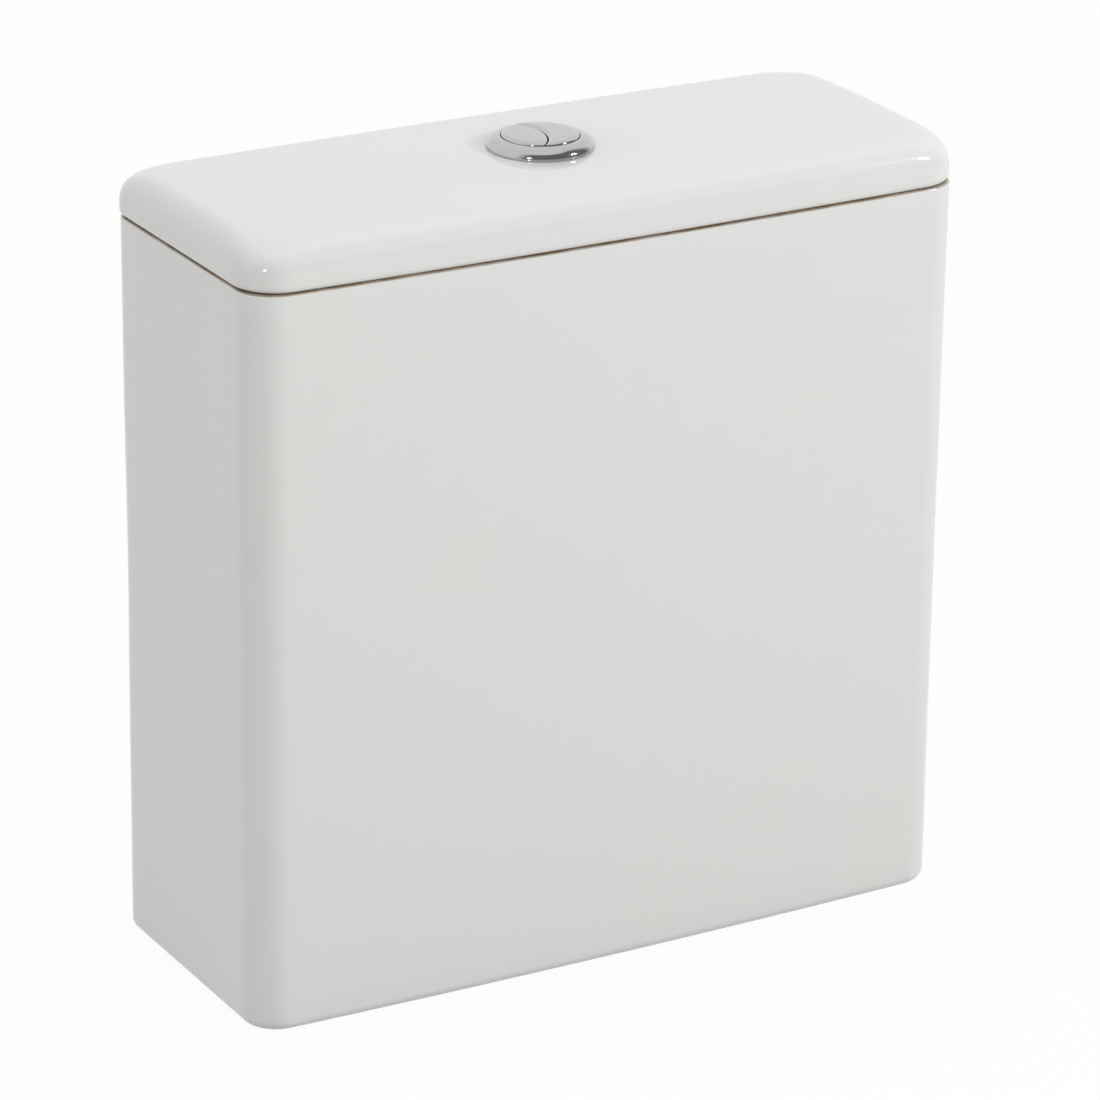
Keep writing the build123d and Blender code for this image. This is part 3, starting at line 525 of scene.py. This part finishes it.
def arc_profile(centre, radius, start, end, steps):
    """Points of radius and height along an arc, angles in degrees."""
    angles = [radians(start + (end - start) * i / steps) for i in range(steps + 1)]
    return [(centre[0] + radius * cos(a), centre[1] + radius * sin(a)) for a in angles]


def between(first, last, steps):
    """Rings between two rings, without the ends."""
    return [[a.lerp(b, k / steps) for a, b in zip(first, last)] for k in range(1, steps)]


# China

FRONT_STEPS, SIDE_STEPS, BACK_STEPS, CORNER_STEPS = 56, 18, 36, 14
EDGE_STEPS, WALL_STEPS, RIM_STEPS, TANK_STEPS = 8, 28, 6, 14
FLOOR_STEPS, RECESS_STEPS, LID_ROLL_STEPS, LID_TOP_STEPS = 8, 4, 32, 22
LEAST_CORNER, BEVEL, CUT_PAST = 0.005, 0.001, 0.01
WAVE_SEED = 7
WAVE, FINER_WAVE = 0.11, 0.11 * 0.37
WAVE_PLACE, FINER_PLACE = Vector((3.1, 7.7, 1.3)), Vector((9.2, 0.4, 5.5))
SEAM_BAND = 0.004


def plan_ring(half_w, front, back, front_r, back_r, bow):
    """The outline seen from above, as points: a rounded rectangle with a bowed front."""
    points = []

    def run(x0, y0, x1, y1, steps):
        for i in range(steps):
            share = i / steps
            points.append((x0 + (x1 - x0) * share, y0 + (y1 - y0) * share))

    def corner(x, y, radius, start):
        for i in range(CORNER_STEPS):
            angle = radians(start + 90 * i / CORNER_STEPS)
            points.append((x + radius * cos(angle), y + radius * sin(angle)))

    ends = front + bow
    run(-half_w + front_r, ends, half_w - front_r, ends, FRONT_STEPS)
    corner(half_w - front_r, ends + front_r, front_r, 270)
    run(half_w, ends + front_r, half_w, back - back_r, SIDE_STEPS)
    corner(half_w - back_r, back - back_r, back_r, 0)
    run(half_w - back_r, back, -half_w + back_r, back, BACK_STEPS)
    corner(-half_w + back_r, back - back_r, back_r, 90)
    run(-half_w, back - back_r, -half_w, ends + front_r, SIDE_STEPS)
    corner(-half_w + front_r, ends + front_r, front_r, 180)
    bowed = []
    for x, y in points:
        towards_front = min(1.0, (back - y) / (back - ends))
        bowed.append((x, y - bow * (1 - (x / half_w) ** 2) * towards_front ** 3))
    return bowed


def wavy(point, amount):
    """A point moved a little by slow, seeded noise."""
    shift = noise.noise_vector(point / WAVE + WAVE_PLACE)
    finer = noise.noise_vector(point / FINER_WAVE + FINER_PLACE)
    return point + (shift + finer * 0.25) * amount


def hole_ring(outline, axis, radius, height):
    """Points on a round hole that face the points of an outline."""
    return [around(axis, radius, atan2(y - axis.y, x - axis.x), height) for x, y in outline]


class CISTERN_OT_tank(bpy.types.Operator):
    """Builds the china body: outer walls, rim, tank, floor with its holes, recess and foot"""
    bl_idname = "cistern.tank"
    bl_label = "China body"

    def execute(self, context):
        noise.seed_set(WAVE_SEED)
        size = context.scene.cistern_china
        edge, rim, inner, floor_round = size.foot_edge, size.rim_edge, size.wall, size.floor_round
        floor_low, floor_high = size.floor_low, size.floor_high
        top = BODY_HIGH.z

        def outline(inset):
            return plan_ring(BODY_HIGH.x - inset, BODY_LOW.y + inset, BODY_HIGH.y - inset,
                             max(size.front_corner - inset, LEAST_CORNER),
                             max(size.back_corner - inset, LEAST_CORNER), size.bow)

        def ring(inset, height):
            return [Vector((x, y, height)) for x, y in outline(inset)]

        wall_low, wall_high = edge, top - rim
        rings = [ring(edge * (1 - rise), edge * (1 - run)) for rise, run in quarter(EDGE_STEPS)]
        for i in range(1, WALL_STEPS + 1):
            share = i / WALL_STEPS
            height = wall_low + (wall_high - wall_low) * share
            rings.append(ring(size.sink * sin(pi * share) ** 2, height))
        for rise, run in quarter(RIM_STEPS)[1:]:
            rings.append(ring(rim * (1 - run), wall_high + rim * rise))
        for rise, run in quarter(RIM_STEPS):
            rings.append(ring(inner - rim * (1 - rise), wall_high + rim * run))
        for i in range(1, TANK_STEPS + 1):
            height = wall_high + (floor_high + floor_round - wall_high) * i / TANK_STEPS
            rings.append(ring(inner, height))
        for rise, run in quarter(RIM_STEPS)[1:]:
            rings.append(ring(inner + floor_round * (1 - run),
                              floor_high + floor_round * (1 - rise)))
        hole = hole_ring(outline(inner + floor_round), BUTTON_AXIS, size.flush_hole, floor_high)
        rings += between(rings[-1], hole, FLOOR_STEPS) + [hole]
        hole_low = [Vector((p.x, p.y, floor_low)) for p in hole]
        recess = ring(inner, floor_low)
        rings += [hole_low] + between(hole_low, recess, FLOOR_STEPS) + [recess]
        for i in range(1, RECESS_STEPS + 1):
            rings.append(ring(inner, max(floor_low * (1 - i / RECESS_STEPS), BEVEL)))
        rings += [ring(inner - BEVEL, 0.0), ring((inner + edge) / 2, 0.0)]
        moved = [[self.settled(p, size, top) for p in line] for line in rings]
        low, high = floor_low - CUT_PAST, floor_high + CUT_PAST
        holes = [bar(axis, size.bolt_hole, low, high) for axis in BOLT_AXES]
        holes.append(bar(SHANK_AXIS, size.inlet_hole, low, high))
        material = glaze("china_body", top - size.bare_rim, top - size.bare_rim / 2)
        add_piece("china_body", loft(moved, closed=True), "china", "cistern",
                  ["cistern_body"], 30.0, material, holes)
        return {"FINISHED"}

    @staticmethod
    def settled(point, size, top):
        """Slow waves above a flat foot, and a rim that isn't quite level."""
        flat_foot, fade, rim_dip, dip_wave = 0.002, 0.03, 0.00045, 0.05
        share = min(1.0, max(0.0, (point.z - flat_foot) / fade))
        moved = wavy(point, size.unevenness * share)
        if point.z > top - SEAM_BAND:
            dip = 0.5 + 0.5 * noise.noise(Vector((point.x, point.y, 0)) / dip_wave)
            moved.z = min(point.z, top) - rim_dip * dip * (point.z - top + SEAM_BAND) / SEAM_BAND
        return moved


class CISTERN_OT_lid(bpy.types.Operator):
    """Builds the lid: a pillowed cover with a crown, a button hole, a hollow and a seating lip"""
    bl_idname = "cistern.lid"
    bl_label = "Lid"

    def execute(self, context):
        noise.seed_set(WAVE_SEED)
        size = context.scene.cistern_lid
        china = context.scene.cistern_china
        half_w = LID_HIGH.x
        front, back = LID_LOW.y, LID_HIGH.y
        top, seat, lip_low = LID_HIGH.z, BODY_HIGH.z, LID_LOW.z
        edge, corner = size.foot_edge, size.front_corner
        overhang = half_w - BODY_HIGH.x
        back_less = corner - china.back_corner - overhang

        def crown(x, y):
            return (top - size.crown * min(1.0, (y / back) ** 2)
                    - size.end_drop * (x / half_w) ** 4)

        def outline(inset, corner_r):
            return plan_ring(half_w - inset, front + inset, back - inset, corner_r,
                             max(corner_r - back_less, LEAST_CORNER), china.bow)

        def ring(inset, height, corner_r):
            return [Vector((x, y, height)) for x, y in outline(inset, corner_r)]

        rings = []
        for rise, run in quarter(EDGE_STEPS):
            inset = edge * (1 - rise)
            rings.append(ring(inset, seat + edge * (1 - run), corner - inset))
        rings.append([Vector((x, y, (seat + edge + crown(x, y) - size.edge_down) / 2))
                      for x, y in outline(0, corner)])
        roll_spacing = 1.2
        for i in range(LID_ROLL_STEPS + 1):
            angle = pi / 2 * (i / LID_ROLL_STEPS) ** roll_spacing
            side = cos(angle) ** (2 / size.edge_power)
            rise = sin(angle) ** (2 / size.edge_power)
            inset = size.edge_in * (1 - side)
            corner_r = corner + (size.top_corner - corner) * rise ** 2 * (1 - side)
            rings.append([Vector((x, y, crown(x, y) - size.edge_down * (1 - rise)))
                          for x, y in outline(inset, corner_r)])
        flat = outline(size.edge_in, size.top_corner)
        hole = hole_ring(flat, BUTTON_AXIS, size.hole + BEVEL, 0)
        start = [Vector((x, y, 0)) for x, y in flat]
        for line in between(start, hole, LID_TOP_STEPS) + [hole]:
            rings.append([Vector((p.x, p.y, crown(p.x, p.y))) for p in line])
        neck = hole_ring(flat, BUTTON_AXIS, size.hole, 0)
        ceiling = top - size.ceiling
        rings.append([Vector((p.x, p.y, crown(p.x, p.y) - BEVEL)) for p in neck])
        rings.append([Vector((p.x, p.y, ceiling)) for p in neck])
        lip_out = size.lip_out + overhang
        lip_in = size.lip_out + size.lip_wall + overhang
        inner = ring(lip_in, ceiling, LEAST_CORNER)
        rings += between(rings[-1], inner, FLOOR_STEPS) + [inner]
        for i in range(1, RECESS_STEPS + 1):
            height = ceiling + (lip_low + BEVEL - ceiling) * i / RECESS_STEPS
            rings.append(ring(lip_in, height, LEAST_CORNER))
        lip_corner, seat_corner = 0.006, 0.010
        for inset, height in ((lip_in - BEVEL, lip_low), (lip_out + BEVEL, lip_low),
                              (lip_out, lip_low + BEVEL), (lip_out, seat - BEVEL),
                              (lip_out, seat)):
            rings.append(ring(inset, height, lip_corner))
        rings.append(ring((lip_out + edge) / 2, seat, seat_corner))
        moved = [[self.settled(p, china, seat) for p in line] for line in rings]
        material = glaze("china_lid", seat + china.bare_rim / 2, seat)
        add_piece("china_lid", loft(moved, closed=True), "china", "lid", ["lid"], 30.0, material)
        return {"FINISHED"}

    @staticmethod
    def settled(point, size, seat):
        """Slow waves, less near the button and the seam and none on the seat."""
        near_button, fade, seam_fade, seat_lift, lift_wave = 0.03, 0.04, 0.01, 0.00025, 0.06
        if point.z < seat + 1e-6:
            return point
        from_button = hypot(point.x - BUTTON_AXIS.x, point.y - BUTTON_AXIS.y)
        share = min(1.0, max(0.0, (from_button - near_button) / fade))
        share *= min(1.0, max(0.15, (point.z - seat) / seam_fade))
        moved = wavy(point, size.unevenness * 0.8 * share)
        if point.z < seat + SEAM_BAND:
            lift = 0.5 + 0.5 * noise.noise(Vector((point.x, point.y, 4.0)) / lift_wave)
            moved.z = max(point.z, seat) + seat_lift * lift
        return moved


# Button set

BEZEL_SIDES, BEZEL_STEPS, BEZEL_LIP_STEPS = 144, 24, 6
OUTLINE_STEPS, BUTTON_ROLL_STEPS, BUTTON_TOP_STEPS, BOSS_SIDES = 40, 14, 8, 40
COIL_STEPS, WIRE_SIDES = 36, 10
FINE = 0.0001


class CISTERN_OT_bezel(bpy.types.Operator):
    """Builds the chrome bezel around the buttons"""
    bl_idname = "cistern.bezel"
    bl_label = "Bezel"

    def execute(self, context):
        size = context.scene.cistern_buttons
        low, top = BEZEL_LOW.z, BEZEL_HIGH.z
        outer = BEZEL_HIGH.x - BUTTON_AXIS.x
        flange_out, flange_top = 0.0237, low + 0.0013
        crest = outer - size.bezel_round
        edge_top = low + size.bezel_edge
        lip = size.bezel_lip
        profile = [(outer - FINE, low), (outer, low + 2 * FINE)]
        profile += [(crest + size.bezel_round * run, edge_top + (top - edge_top) * rise)
                    for rise, run in quarter(BEZEL_STEPS)]
        profile += arc_profile((size.bore + lip, top - lip), lip, 85, 180, BEZEL_LIP_STEPS)
        profile += [(size.bore, flange_top + FINE), (size.bore + FINE, flange_top),
                    (flange_out, flange_top), (flange_out, low)]
        add_piece("button_bezel_ring", loft(lathe(profile, BUTTON_AXIS, BEZEL_SIDES), True),
                  "chrome", "lid", ["button_bezel"], 50.0)
        return {"FINISHED"}


def rod_axis(size, side):
    """The upright axis of a button's rod: side is -1 for the half flush and 1 for the full."""
    return Vector((BUTTON_AXIS.x + side * size.rod_place,
                   BUTTON_AXIS.y - side * size.rod_place, 0))


def button_outline(size, side, inset):
    """A button's outline: the disc's rim, then the split, set in by a distance."""
    disc = size.disc - inset
    centre = size.split_peak - size.split_radius
    split = size.split_radius + side * (size.split_gap / 2 + inset)
    meet_x = (disc ** 2 - split ** 2 + centre ** 2) / (2 * centre)
    meet_y = sqrt(disc ** 2 - meet_x ** 2)
    rim_angle, split_angle = atan2(meet_y, meet_x), atan2(meet_y, meet_x - centre)
    rim = (rim_angle, 2 * pi - rim_angle) if side < 0 else (-rim_angle, rim_angle)
    back = (side * split_angle, -side * split_angle)
    points = []
    for middle, radius, (start, end) in ((0.0, disc, rim), (centre, split, back)):
        for i in range(OUTLINE_STEPS):
            angle = start + (end - start) * i / OUTLINE_STEPS
            points.append((middle + radius * cos(angle), radius * sin(angle)))
    turn = size.split_turn
    return [(x * cos(turn) - y * sin(turn), x * sin(turn) + y * cos(turn)) for x, y in points]


class CISTERN_OT_buttons(bpy.types.Operator):
    """Builds the two push buttons, with rolled edges, skirts and rod bosses"""
    bl_idname = "cistern.buttons"
    bl_label = "Push buttons"

    def execute(self, context):
        size = context.scene.cistern_buttons
        boss_out, boss_in, boss_deep = 0.0039, 0.00305, 0.003
        for side, low, high, name, body, node in (
                (-1, HALF_LOW, HALF_HIGH, "half_button_cap", "half_button", "half_flush_button"),
                (1, FULL_LOW, FULL_HIGH, "full_button_cap", "full_button", "full_flush_button")):
            under = high.z - size.cap
            skin = self.shell(size, side, low.z, under, BEZEL_HIGH.z + size.proud)
            boss = lathe([(boss_out, under), (boss_out, under - boss_deep),
                          (boss_in, under - boss_deep), (boss_in, under)],
                         rod_axis(size, side), BOSS_SIDES)
            add_piece(name, joined(skin, loft(boss, True)), "chrome", body, [node], 50.0)
        return {"FINISHED"}

    @staticmethod
    def shell(size, side, low, under, top):
        """From the cap's underside down the skirt, up the wall and over the roll to the top."""
        thin, fine = size.skirt, 2 * FINE

        def ring(inset, height):
            return [Vector((BUTTON_AXIS.x + x, BUTTON_AXIS.y + y, height))
                    for x, y in button_outline(size, side, inset)]

        def domed(line, drop):
            made = []
            for p in line:
                out = hypot(p.x - BUTTON_AXIS.x, p.y - BUTTON_AXIS.y) / size.disc
                made.append(Vector((p.x, p.y, top - size.dome * out ** 2 - drop)))
            return made

        rings = [ring(thin * 1.5, under), ring(thin, under), ring(thin, low + fine),
                 ring(thin - fine, low), ring(fine, low), ring(0.0, low + fine),
                 ring(0.0, top - size.dome - size.roll_drop - fine)]
        for rise, run in quarter(BUTTON_ROLL_STEPS):
            rings.append(domed(ring(size.roll * (1 - run), 0), size.roll_drop * (1 - rise)))
        last = rings[-1]
        middle = sum(last, Vector()) / len(last)
        for line in between(last, [middle] * len(last), BUTTON_TOP_STEPS):
            rings.append(domed(line, 0))
        return capped(rings)


class CISTERN_OT_springs(bpy.types.Operator):
    """Builds the coil springs that return the buttons"""
    bl_idname = "cistern.springs"
    bl_label = "Return springs"

    def execute(self, context):
        size = context.scene.cistern_buttons
        low, high = SPRING_LOW.z, SPRING_HIGH.z
        for side, name, node, joint in (
                (-1, "half_return_spring", "half_button_spring", "half_button_press"),
                (1, "full_return_spring", "full_button_spring", "full_button_press")):
            axis = rod_axis(size, side)
            piece = add_piece(name, self.coil(axis, size, low, high), "spring_steel", "lid",
                              [node], 60.0)
            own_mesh(piece)
        return {"FINISHED"}

    @staticmethod
    def coil(axis, size, low, high):
        """A round wire along a coil whose end turns lie close."""
        wire, turns = size.wire, size.coil_turns
        start, end, close = low + wire, high - wire, 2.1 * wire
        rings = []
        for i in range(turns * COIL_STEPS + 1):
            turn = i / COIL_STEPS
            if turn < 1:
                height = start + close * turn
            elif turn > turns - 1:
                height = end - close * (turns - turn)
            else:
                height = start + close + (end - start - 2 * close) * (turn - 1) / (turns - 2)
            angle = 2 * pi * turn
            ways = [2 * pi * k / WIRE_SIDES for k in range(WIRE_SIDES)]
            rings.append([around(axis, size.coil + wire * cos(way), angle,
                                 height + wire * sin(way)) for way in ways])
        return capped(rings)


# Screws

HEIGHTS_PER_PITCH = 6
BOLT_SIDES, HEAD_STEPS, SHANK_SIDES, SLEEVE_SIDES = 40, 8, 72, 60


def thread(low, high, pitch, depth):
    """How far a screw thread cuts in, by angle and height, between two heights."""
    def groove(angle, height):
        if height < low or height > high:
            return 0
        phase = (height / pitch - angle / (2 * pi)) % 1
        tooth = abs(2 * phase - 1)
        fade = min(1.0, (height - low) / (pitch * 0.5), (high - height) / (pitch * 0.5))
        return depth * (1 - tooth) * fade

    return groove


def even_heights(radius, low, high, pitch):
    """A profile's straight part with enough points to show a thread."""
    steps = max(2, int((high - low) / pitch * HEIGHTS_PER_PITCH))
    return [(radius, low + (high - low) * i / steps) for i in range(steps + 1)]


class CISTERN_OT_coupling_bolts(bpy.types.Operator):
    """Builds the slotted coupling bolts with their threads"""
    bl_idname = "cistern.coupling_bolts"
    bl_label = "Coupling bolts"

    def execute(self, context):
        pitch = context.scene.cistern_threads.bolt_pitch
        low, high = BOLTS_LOW.z, BOLTS_HIGH.z
        tip_r, thread_r, neck_r, depth = 0.0034, 0.0040, 0.0037, 0.00062
        head_r, head_round, flange_r, edge = 0.0075, 0.0026, BOLT_FLANGE, 3 * FINE
        head_low = high - 0.0045
        flange_low = head_low - 0.0016
        thread_low, thread_high = low + 0.0007, low + 0.023
        profile = [(tip_r, low), (thread_r, thread_low - FINE)]
        profile += even_heights(thread_r, thread_low, thread_high, pitch)
        profile += [(neck_r, thread_high + 4 * FINE), (neck_r, flange_low),
                    (flange_r - edge, flange_low), (flange_r, flange_low + edge),
                    (flange_r, head_low - edge), (flange_r - edge, head_low),
                    (head_r, head_low)]
        profile += arc_profile((head_r - head_round, high - head_round), head_round,
                               0, 90, HEAD_STEPS)
        profile += [(head_r * 0.3, high)]
        groove = thread(thread_low, thread_high, pitch, depth)
        skins, slots = [], []
        for axis in BOLT_AXES:
            skins.append(capped(lathe(profile, axis, BOLT_SIDES, groove)))
            slots.append(self.slot_cutter(axis.x, axis.y, high))
        add_piece("slotted_bolts", joined(*skins), "bolt_steel", "cistern",
                  ["coupling_bolts"], 35.0, cutters=slots)
        return {"FINISHED"}

    @staticmethod
    def slot_cutter(x, y, high):
        """A box for a screwdriver's slot."""
        half_l, half_w, deep, above = 0.009, 0.0009, 0.0022, 0.002
        ring = [(x - half_l, y - half_w), (x + half_l, y - half_w),
                (x + half_l, y + half_w), (x - half_l, y + half_w)]
        return capped([[Vector((a, b, z)) for a, b in ring] for z in (high - deep, high + above)])


class CISTERN_OT_inlet_shank(bpy.types.Operator):
    """Builds the fill valve's threaded shank and riser"""
    bl_idname = "cistern.inlet_shank"
    bl_label = "Inlet shank"

    def execute(self, context):
        pitch = context.scene.cistern_threads.inlet_pitch
        low, high = SHANK_LOW.z, SHANK_HIGH.z
        bore, outer, relief, depth = 0.0065, 0.01048, 0.010, 0.0009
        foot, riser, edge, bevel = 0.0096, 0.009, 4 * FINE, 6 * FINE
        flange_low, flange_r = WASHER_TOP, SHANK_HIGH.x - SHANK_AXIS.x
        flange_high = flange_low + 0.0035
        thread_low, thread_high = low + 0.0009, low + 0.021
        profile = [(bore, low), (outer - 8 * FINE, low), (outer, thread_low - FINE)]
        profile += even_heights(outer, thread_low, thread_high, pitch)
        profile += [(relief, thread_high + 5 * FINE), (relief, flange_low),
                    (flange_r - edge, flange_low), (flange_r, flange_low + edge),
                    (flange_r, flange_high - edge), (flange_r - edge, flange_high),
                    (foot, flange_high), (riser, flange_high + bevel),
                    (riser, high - bevel), (riser - bevel, high), (bore, high)]
        groove = thread(thread_low, thread_high, pitch, depth)
        add_piece("threaded_shank", loft(lathe(profile, SHANK_AXIS, SHANK_SIDES, groove), True),
                  "valve_white", "cistern", ["fill_valve_shank"], 35.0)
        return {"FINISHED"}


class CISTERN_OT_sleeve_thread(bpy.types.Operator):
    """Adds the coarse thread on the button housing's sleeve"""
    bl_idname = "cistern.sleeve_thread"
    bl_label = "Sleeve thread"

    def execute(self, context):
        pitch = context.scene.cistern_threads.sleeve_pitch
        reach, sunk, depth, half_root, half_crest = 0.02145, 0.0003, 0.0006, 0.0009, 0.0003
        margin, fade_steps = 0.004, 12
        low, high = SLEEVE_LOW.z + margin, LID_HIGH.z - margin
        steps = int((high - low) / pitch) * SLEEVE_SIDES
        rings = []
        for i in range(steps + 1):
            angle = 2 * pi * i / SLEEVE_SIDES
            height = low + pitch * i / SLEEVE_SIDES
            fade = min(1.0, i / fade_steps, (steps - i) / fade_steps)
            root, crest = reach - sunk, reach + FINE + depth * fade
            rings.append([around(BUTTON_AXIS, out, angle, height + rise) for out, rise in (
                (root, -half_root), (crest, -half_crest), (crest, half_crest),
                (root, half_root))])
        add_piece("sleeve_thread", capped(rings), "button_grey", "lid", (), 25.0)
        return {"FINISHED"}


# CAD nodes that keep their shape

class CISTERN_OT_fittings(bpy.types.Operator):
    """Gives every fitting that keeps its CAD shape its own finish"""
    bl_idname = "cistern.fittings"
    bl_label = "Fittings"

    def execute(self, context):
        slots = {part["node"]: part["material_slot"] for part in frame["record"]["subparts"]}
        for name, node in frame["nodes"].items():
            if node.hide_render:
                continue
            node.data.materials.clear()
            node.data.materials.append(finish(slots[name]))
        return {"FINISHED"}


# Stage

WHITE = (1, 1, 1, 1)


def direction(azimuth, elevation):
    """The way from the aim to a point, by its azimuth from the front and its elevation."""
    return Vector((sin(azimuth) * cos(elevation), -cos(azimuth) * cos(elevation), sin(elevation)))


def background_rays(tree):
    """1 for the rays that show the background: to the camera, off metal and through glass."""
    rays = tree.nodes.new("ShaderNodeLightPath").outputs
    total = rays["Is Camera Ray"]
    for name in ("Is Glossy Ray", "Is Transmission Ray"):
        total = calculate(tree, "MAXIMUM", total, rays[name])
    return total


class CISTERN_OT_stage(bpy.types.Operator):
    """Adds the floor, the room, the lamps and the camera"""
    bl_idname = "cistern.stage"
    bl_label = "Studio"

    def execute(self, context):
        studio = context.scene.cistern_studio
        self.floor()
        self.room(studio)
        self.lamps(studio)
        self.camera(studio)
        context.scene.view_settings.view_transform = "Standard"
        return {"FINISHED"}

    @staticmethod
    def floor():
        """A wide floor that takes soft shadows and shows white as a background."""
        half, glow_strength, glow_share = 9.0, 1.05, 0.9
        mesh = bpy.data.meshes.new("floor")
        mesh.from_pydata([(-half, -half, 0), (half, -half, 0), (half, half, 0), (-half, half, 0)],
                         [], [(0, 1, 2, 3)])
        floor = new_object("floor", mesh)
        nodes = Nodes("pale_floor")
        nodes.set(Base_Color=(0.46, 0.46, 0.44, 1), Roughness=0.9)
        tree = nodes.tree
        glow = tree.nodes.new("ShaderNodeEmission")
        glow.inputs["Color"].default_value = WHITE
        glow.inputs["Strength"].default_value = glow_strength
        mixed = tree.nodes.new("ShaderNodeMixShader")
        nodes.link(calculate(tree, "MULTIPLY", background_rays(tree), glow_share),
                   mixed.inputs["Fac"])
        nodes.link(nodes.shader.outputs["BSDF"], mixed.inputs[1])
        nodes.link(glow.outputs["Emission"], mixed.inputs[2])
        nodes.link(mixed.outputs["Shader"], tree.nodes["Material Output"].inputs["Surface"])
        mesh.materials.append(nodes.material)

    @staticmethod
    def room(studio):
        """White background, pale light overhead, and a dim band in front that the chrome shows."""
        world = bpy.data.worlds.new("room")
        bpy.context.scene.world = world
        world.use_nodes = True
        tree = world.node_tree

        def maths(kind, first, second):
            return calculate(tree, kind, first, second)

        def ramp(value, ends, results):
            return ranged(tree, value, ends, results, "SMOOTHSTEP")

        parts = tree.nodes.new("ShaderNodeSeparateXYZ")
        place = tree.nodes.new("ShaderNodeTexCoord").outputs["Generated"]
        tree.links.new(place, parts.inputs["Vector"])
        x, y, z = (parts.outputs[name] for name in "XYZ")
        band_turn = 0.2
        front = ramp(maths("SUBTRACT", y, maths("MULTIPLY", x, band_turn)),
                     (0.08, -0.38), (0.0, 1.0))
        band = ramp(z, (0.80, 0.92), (1.0, 0.0))
        dimmed = maths("MULTIPLY", maths("MULTIPLY", front, band), 1.0 - studio.room_front)
        level = ramp(z, (0.3, 0.6), (studio.room * studio.room_back, studio.room))
        level = maths("MULTIPLY", level, maths("SUBTRACT", 1.0, dimmed))
        camera = tree.nodes.new("ShaderNodeLightPath").outputs["Is Camera Ray"]
        hidden = maths("MULTIPLY", dimmed, maths("SUBTRACT", 1.0, camera))
        shown = maths("SUBTRACT", maths("SUBTRACT", 1.0, hidden), level)
        seen = maths("MULTIPLY", background_rays(tree), shown)
        background = tree.nodes["Background"]
        background.inputs["Color"].default_value = WHITE
        tree.links.new(maths("ADD", level, seen), background.inputs["Strength"])

    @staticmethod
    def lamps(studio):
        """Two lamps that the glaze and the chrome show, and two soft fills that they don't."""
        aim = Vector((0, 0, 0.2))
        for name, azimuth, elevation, distance, power, width, height, shown in (
                ("left_lamp", -52, 18, 2.2, studio.left_lamp, 0.2, 0.3, True),
                ("right_lamp", 49, 27, 3.2, studio.right_lamp, 0.5, 0.4, True),
                ("front_fill", 12, 26, 3.2, studio.fill, 1.8, 1.2, False),
                ("left_fill", -105, 18, 3.2, studio.left_fill, 1.8, 1.2, False)):
            data = bpy.data.lights.new(name, "AREA")
            data.shape = "RECTANGLE"
            data.size, data.size_y = width, height
            data.energy = power
            lamp = new_object(name, data)
            way = direction(radians(azimuth), radians(elevation))
            turn = (-way).to_track_quat("-Z", "Y").to_matrix().to_4x4()
            lamp.matrix_world = Matrix.Translation(aim + way * distance) @ turn
            lamp.visible_glossy = shown

    @staticmethod
    def camera(studio):
        """The camera that sees the cistern as the photograph does."""
        roll = studio.roll
        back = direction(studio.azimuth, studio.elevation)
        right = (-back).cross(Vector((0, 0, 1))).normalized()
        up = right.cross(-back)
        turned = right * cos(roll) + up * sin(roll)
        upright = up * cos(roll) - right * sin(roll)
        place = (Vector((0, 0, studio.aim_height)) + turned * studio.shift_right
                 + upright * studio.shift_up + back * studio.distance)
        data = bpy.data.cameras.new("camera")
        data.sensor_width = 36
        data.lens = studio.lens
        data.clip_end = 60
        camera = new_object("camera", data)
        axes = Matrix((turned, upright, back)).transposed().to_4x4()
        camera.matrix_world = Matrix.Translation(place) @ axes
        bpy.context.scene.camera = camera


class CISTERN_PT_parts(bpy.types.Panel):
    """Lists the cistern's pieces and their sizes"""
    bl_idname = "CISTERN_PT_parts"
    bl_label = "Cistern"
    bl_space_type = "VIEW_3D"
    bl_region_type = "UI"
    bl_category = "Cistern"

    def draw(self, context):
        for operator in OPERATORS:
            self.layout.operator(operator.bl_idname)
        for name, group in GROUPS.items():
            box = self.layout.box()
            box.label(text=group.__doc__)
            values = getattr(context.scene, name)
            for key in group.__annotations__:
                box.prop(values, key)


OPERATORS = (
    CISTERN_OT_stage, CISTERN_OT_tank, CISTERN_OT_lid, CISTERN_OT_bezel, CISTERN_OT_buttons,
    CISTERN_OT_springs, CISTERN_OT_coupling_bolts, CISTERN_OT_inlet_shank,
    CISTERN_OT_sleeve_thread, CISTERN_OT_fittings,
)
CLASSES = (*GROUPS.values(), *OPERATORS, CISTERN_PT_parts)


def register():
    for cls in CLASSES:
        bpy.utils.register_class(cls)
    for name, group in GROUPS.items():
        setattr(bpy.types.Scene, name, PointerProperty(type=group))


def unregister():
    for name in GROUPS:
        delattr(bpy.types.Scene, name)
    for cls in reversed(CLASSES):
        bpy.utils.unregister_class(cls)


def main():
    register()
    for operator in OPERATORS:
        group, call = operator.bl_idname.split(".")
        getattr(getattr(bpy.ops, group), call)()


if __name__ == "__main__":
    main()
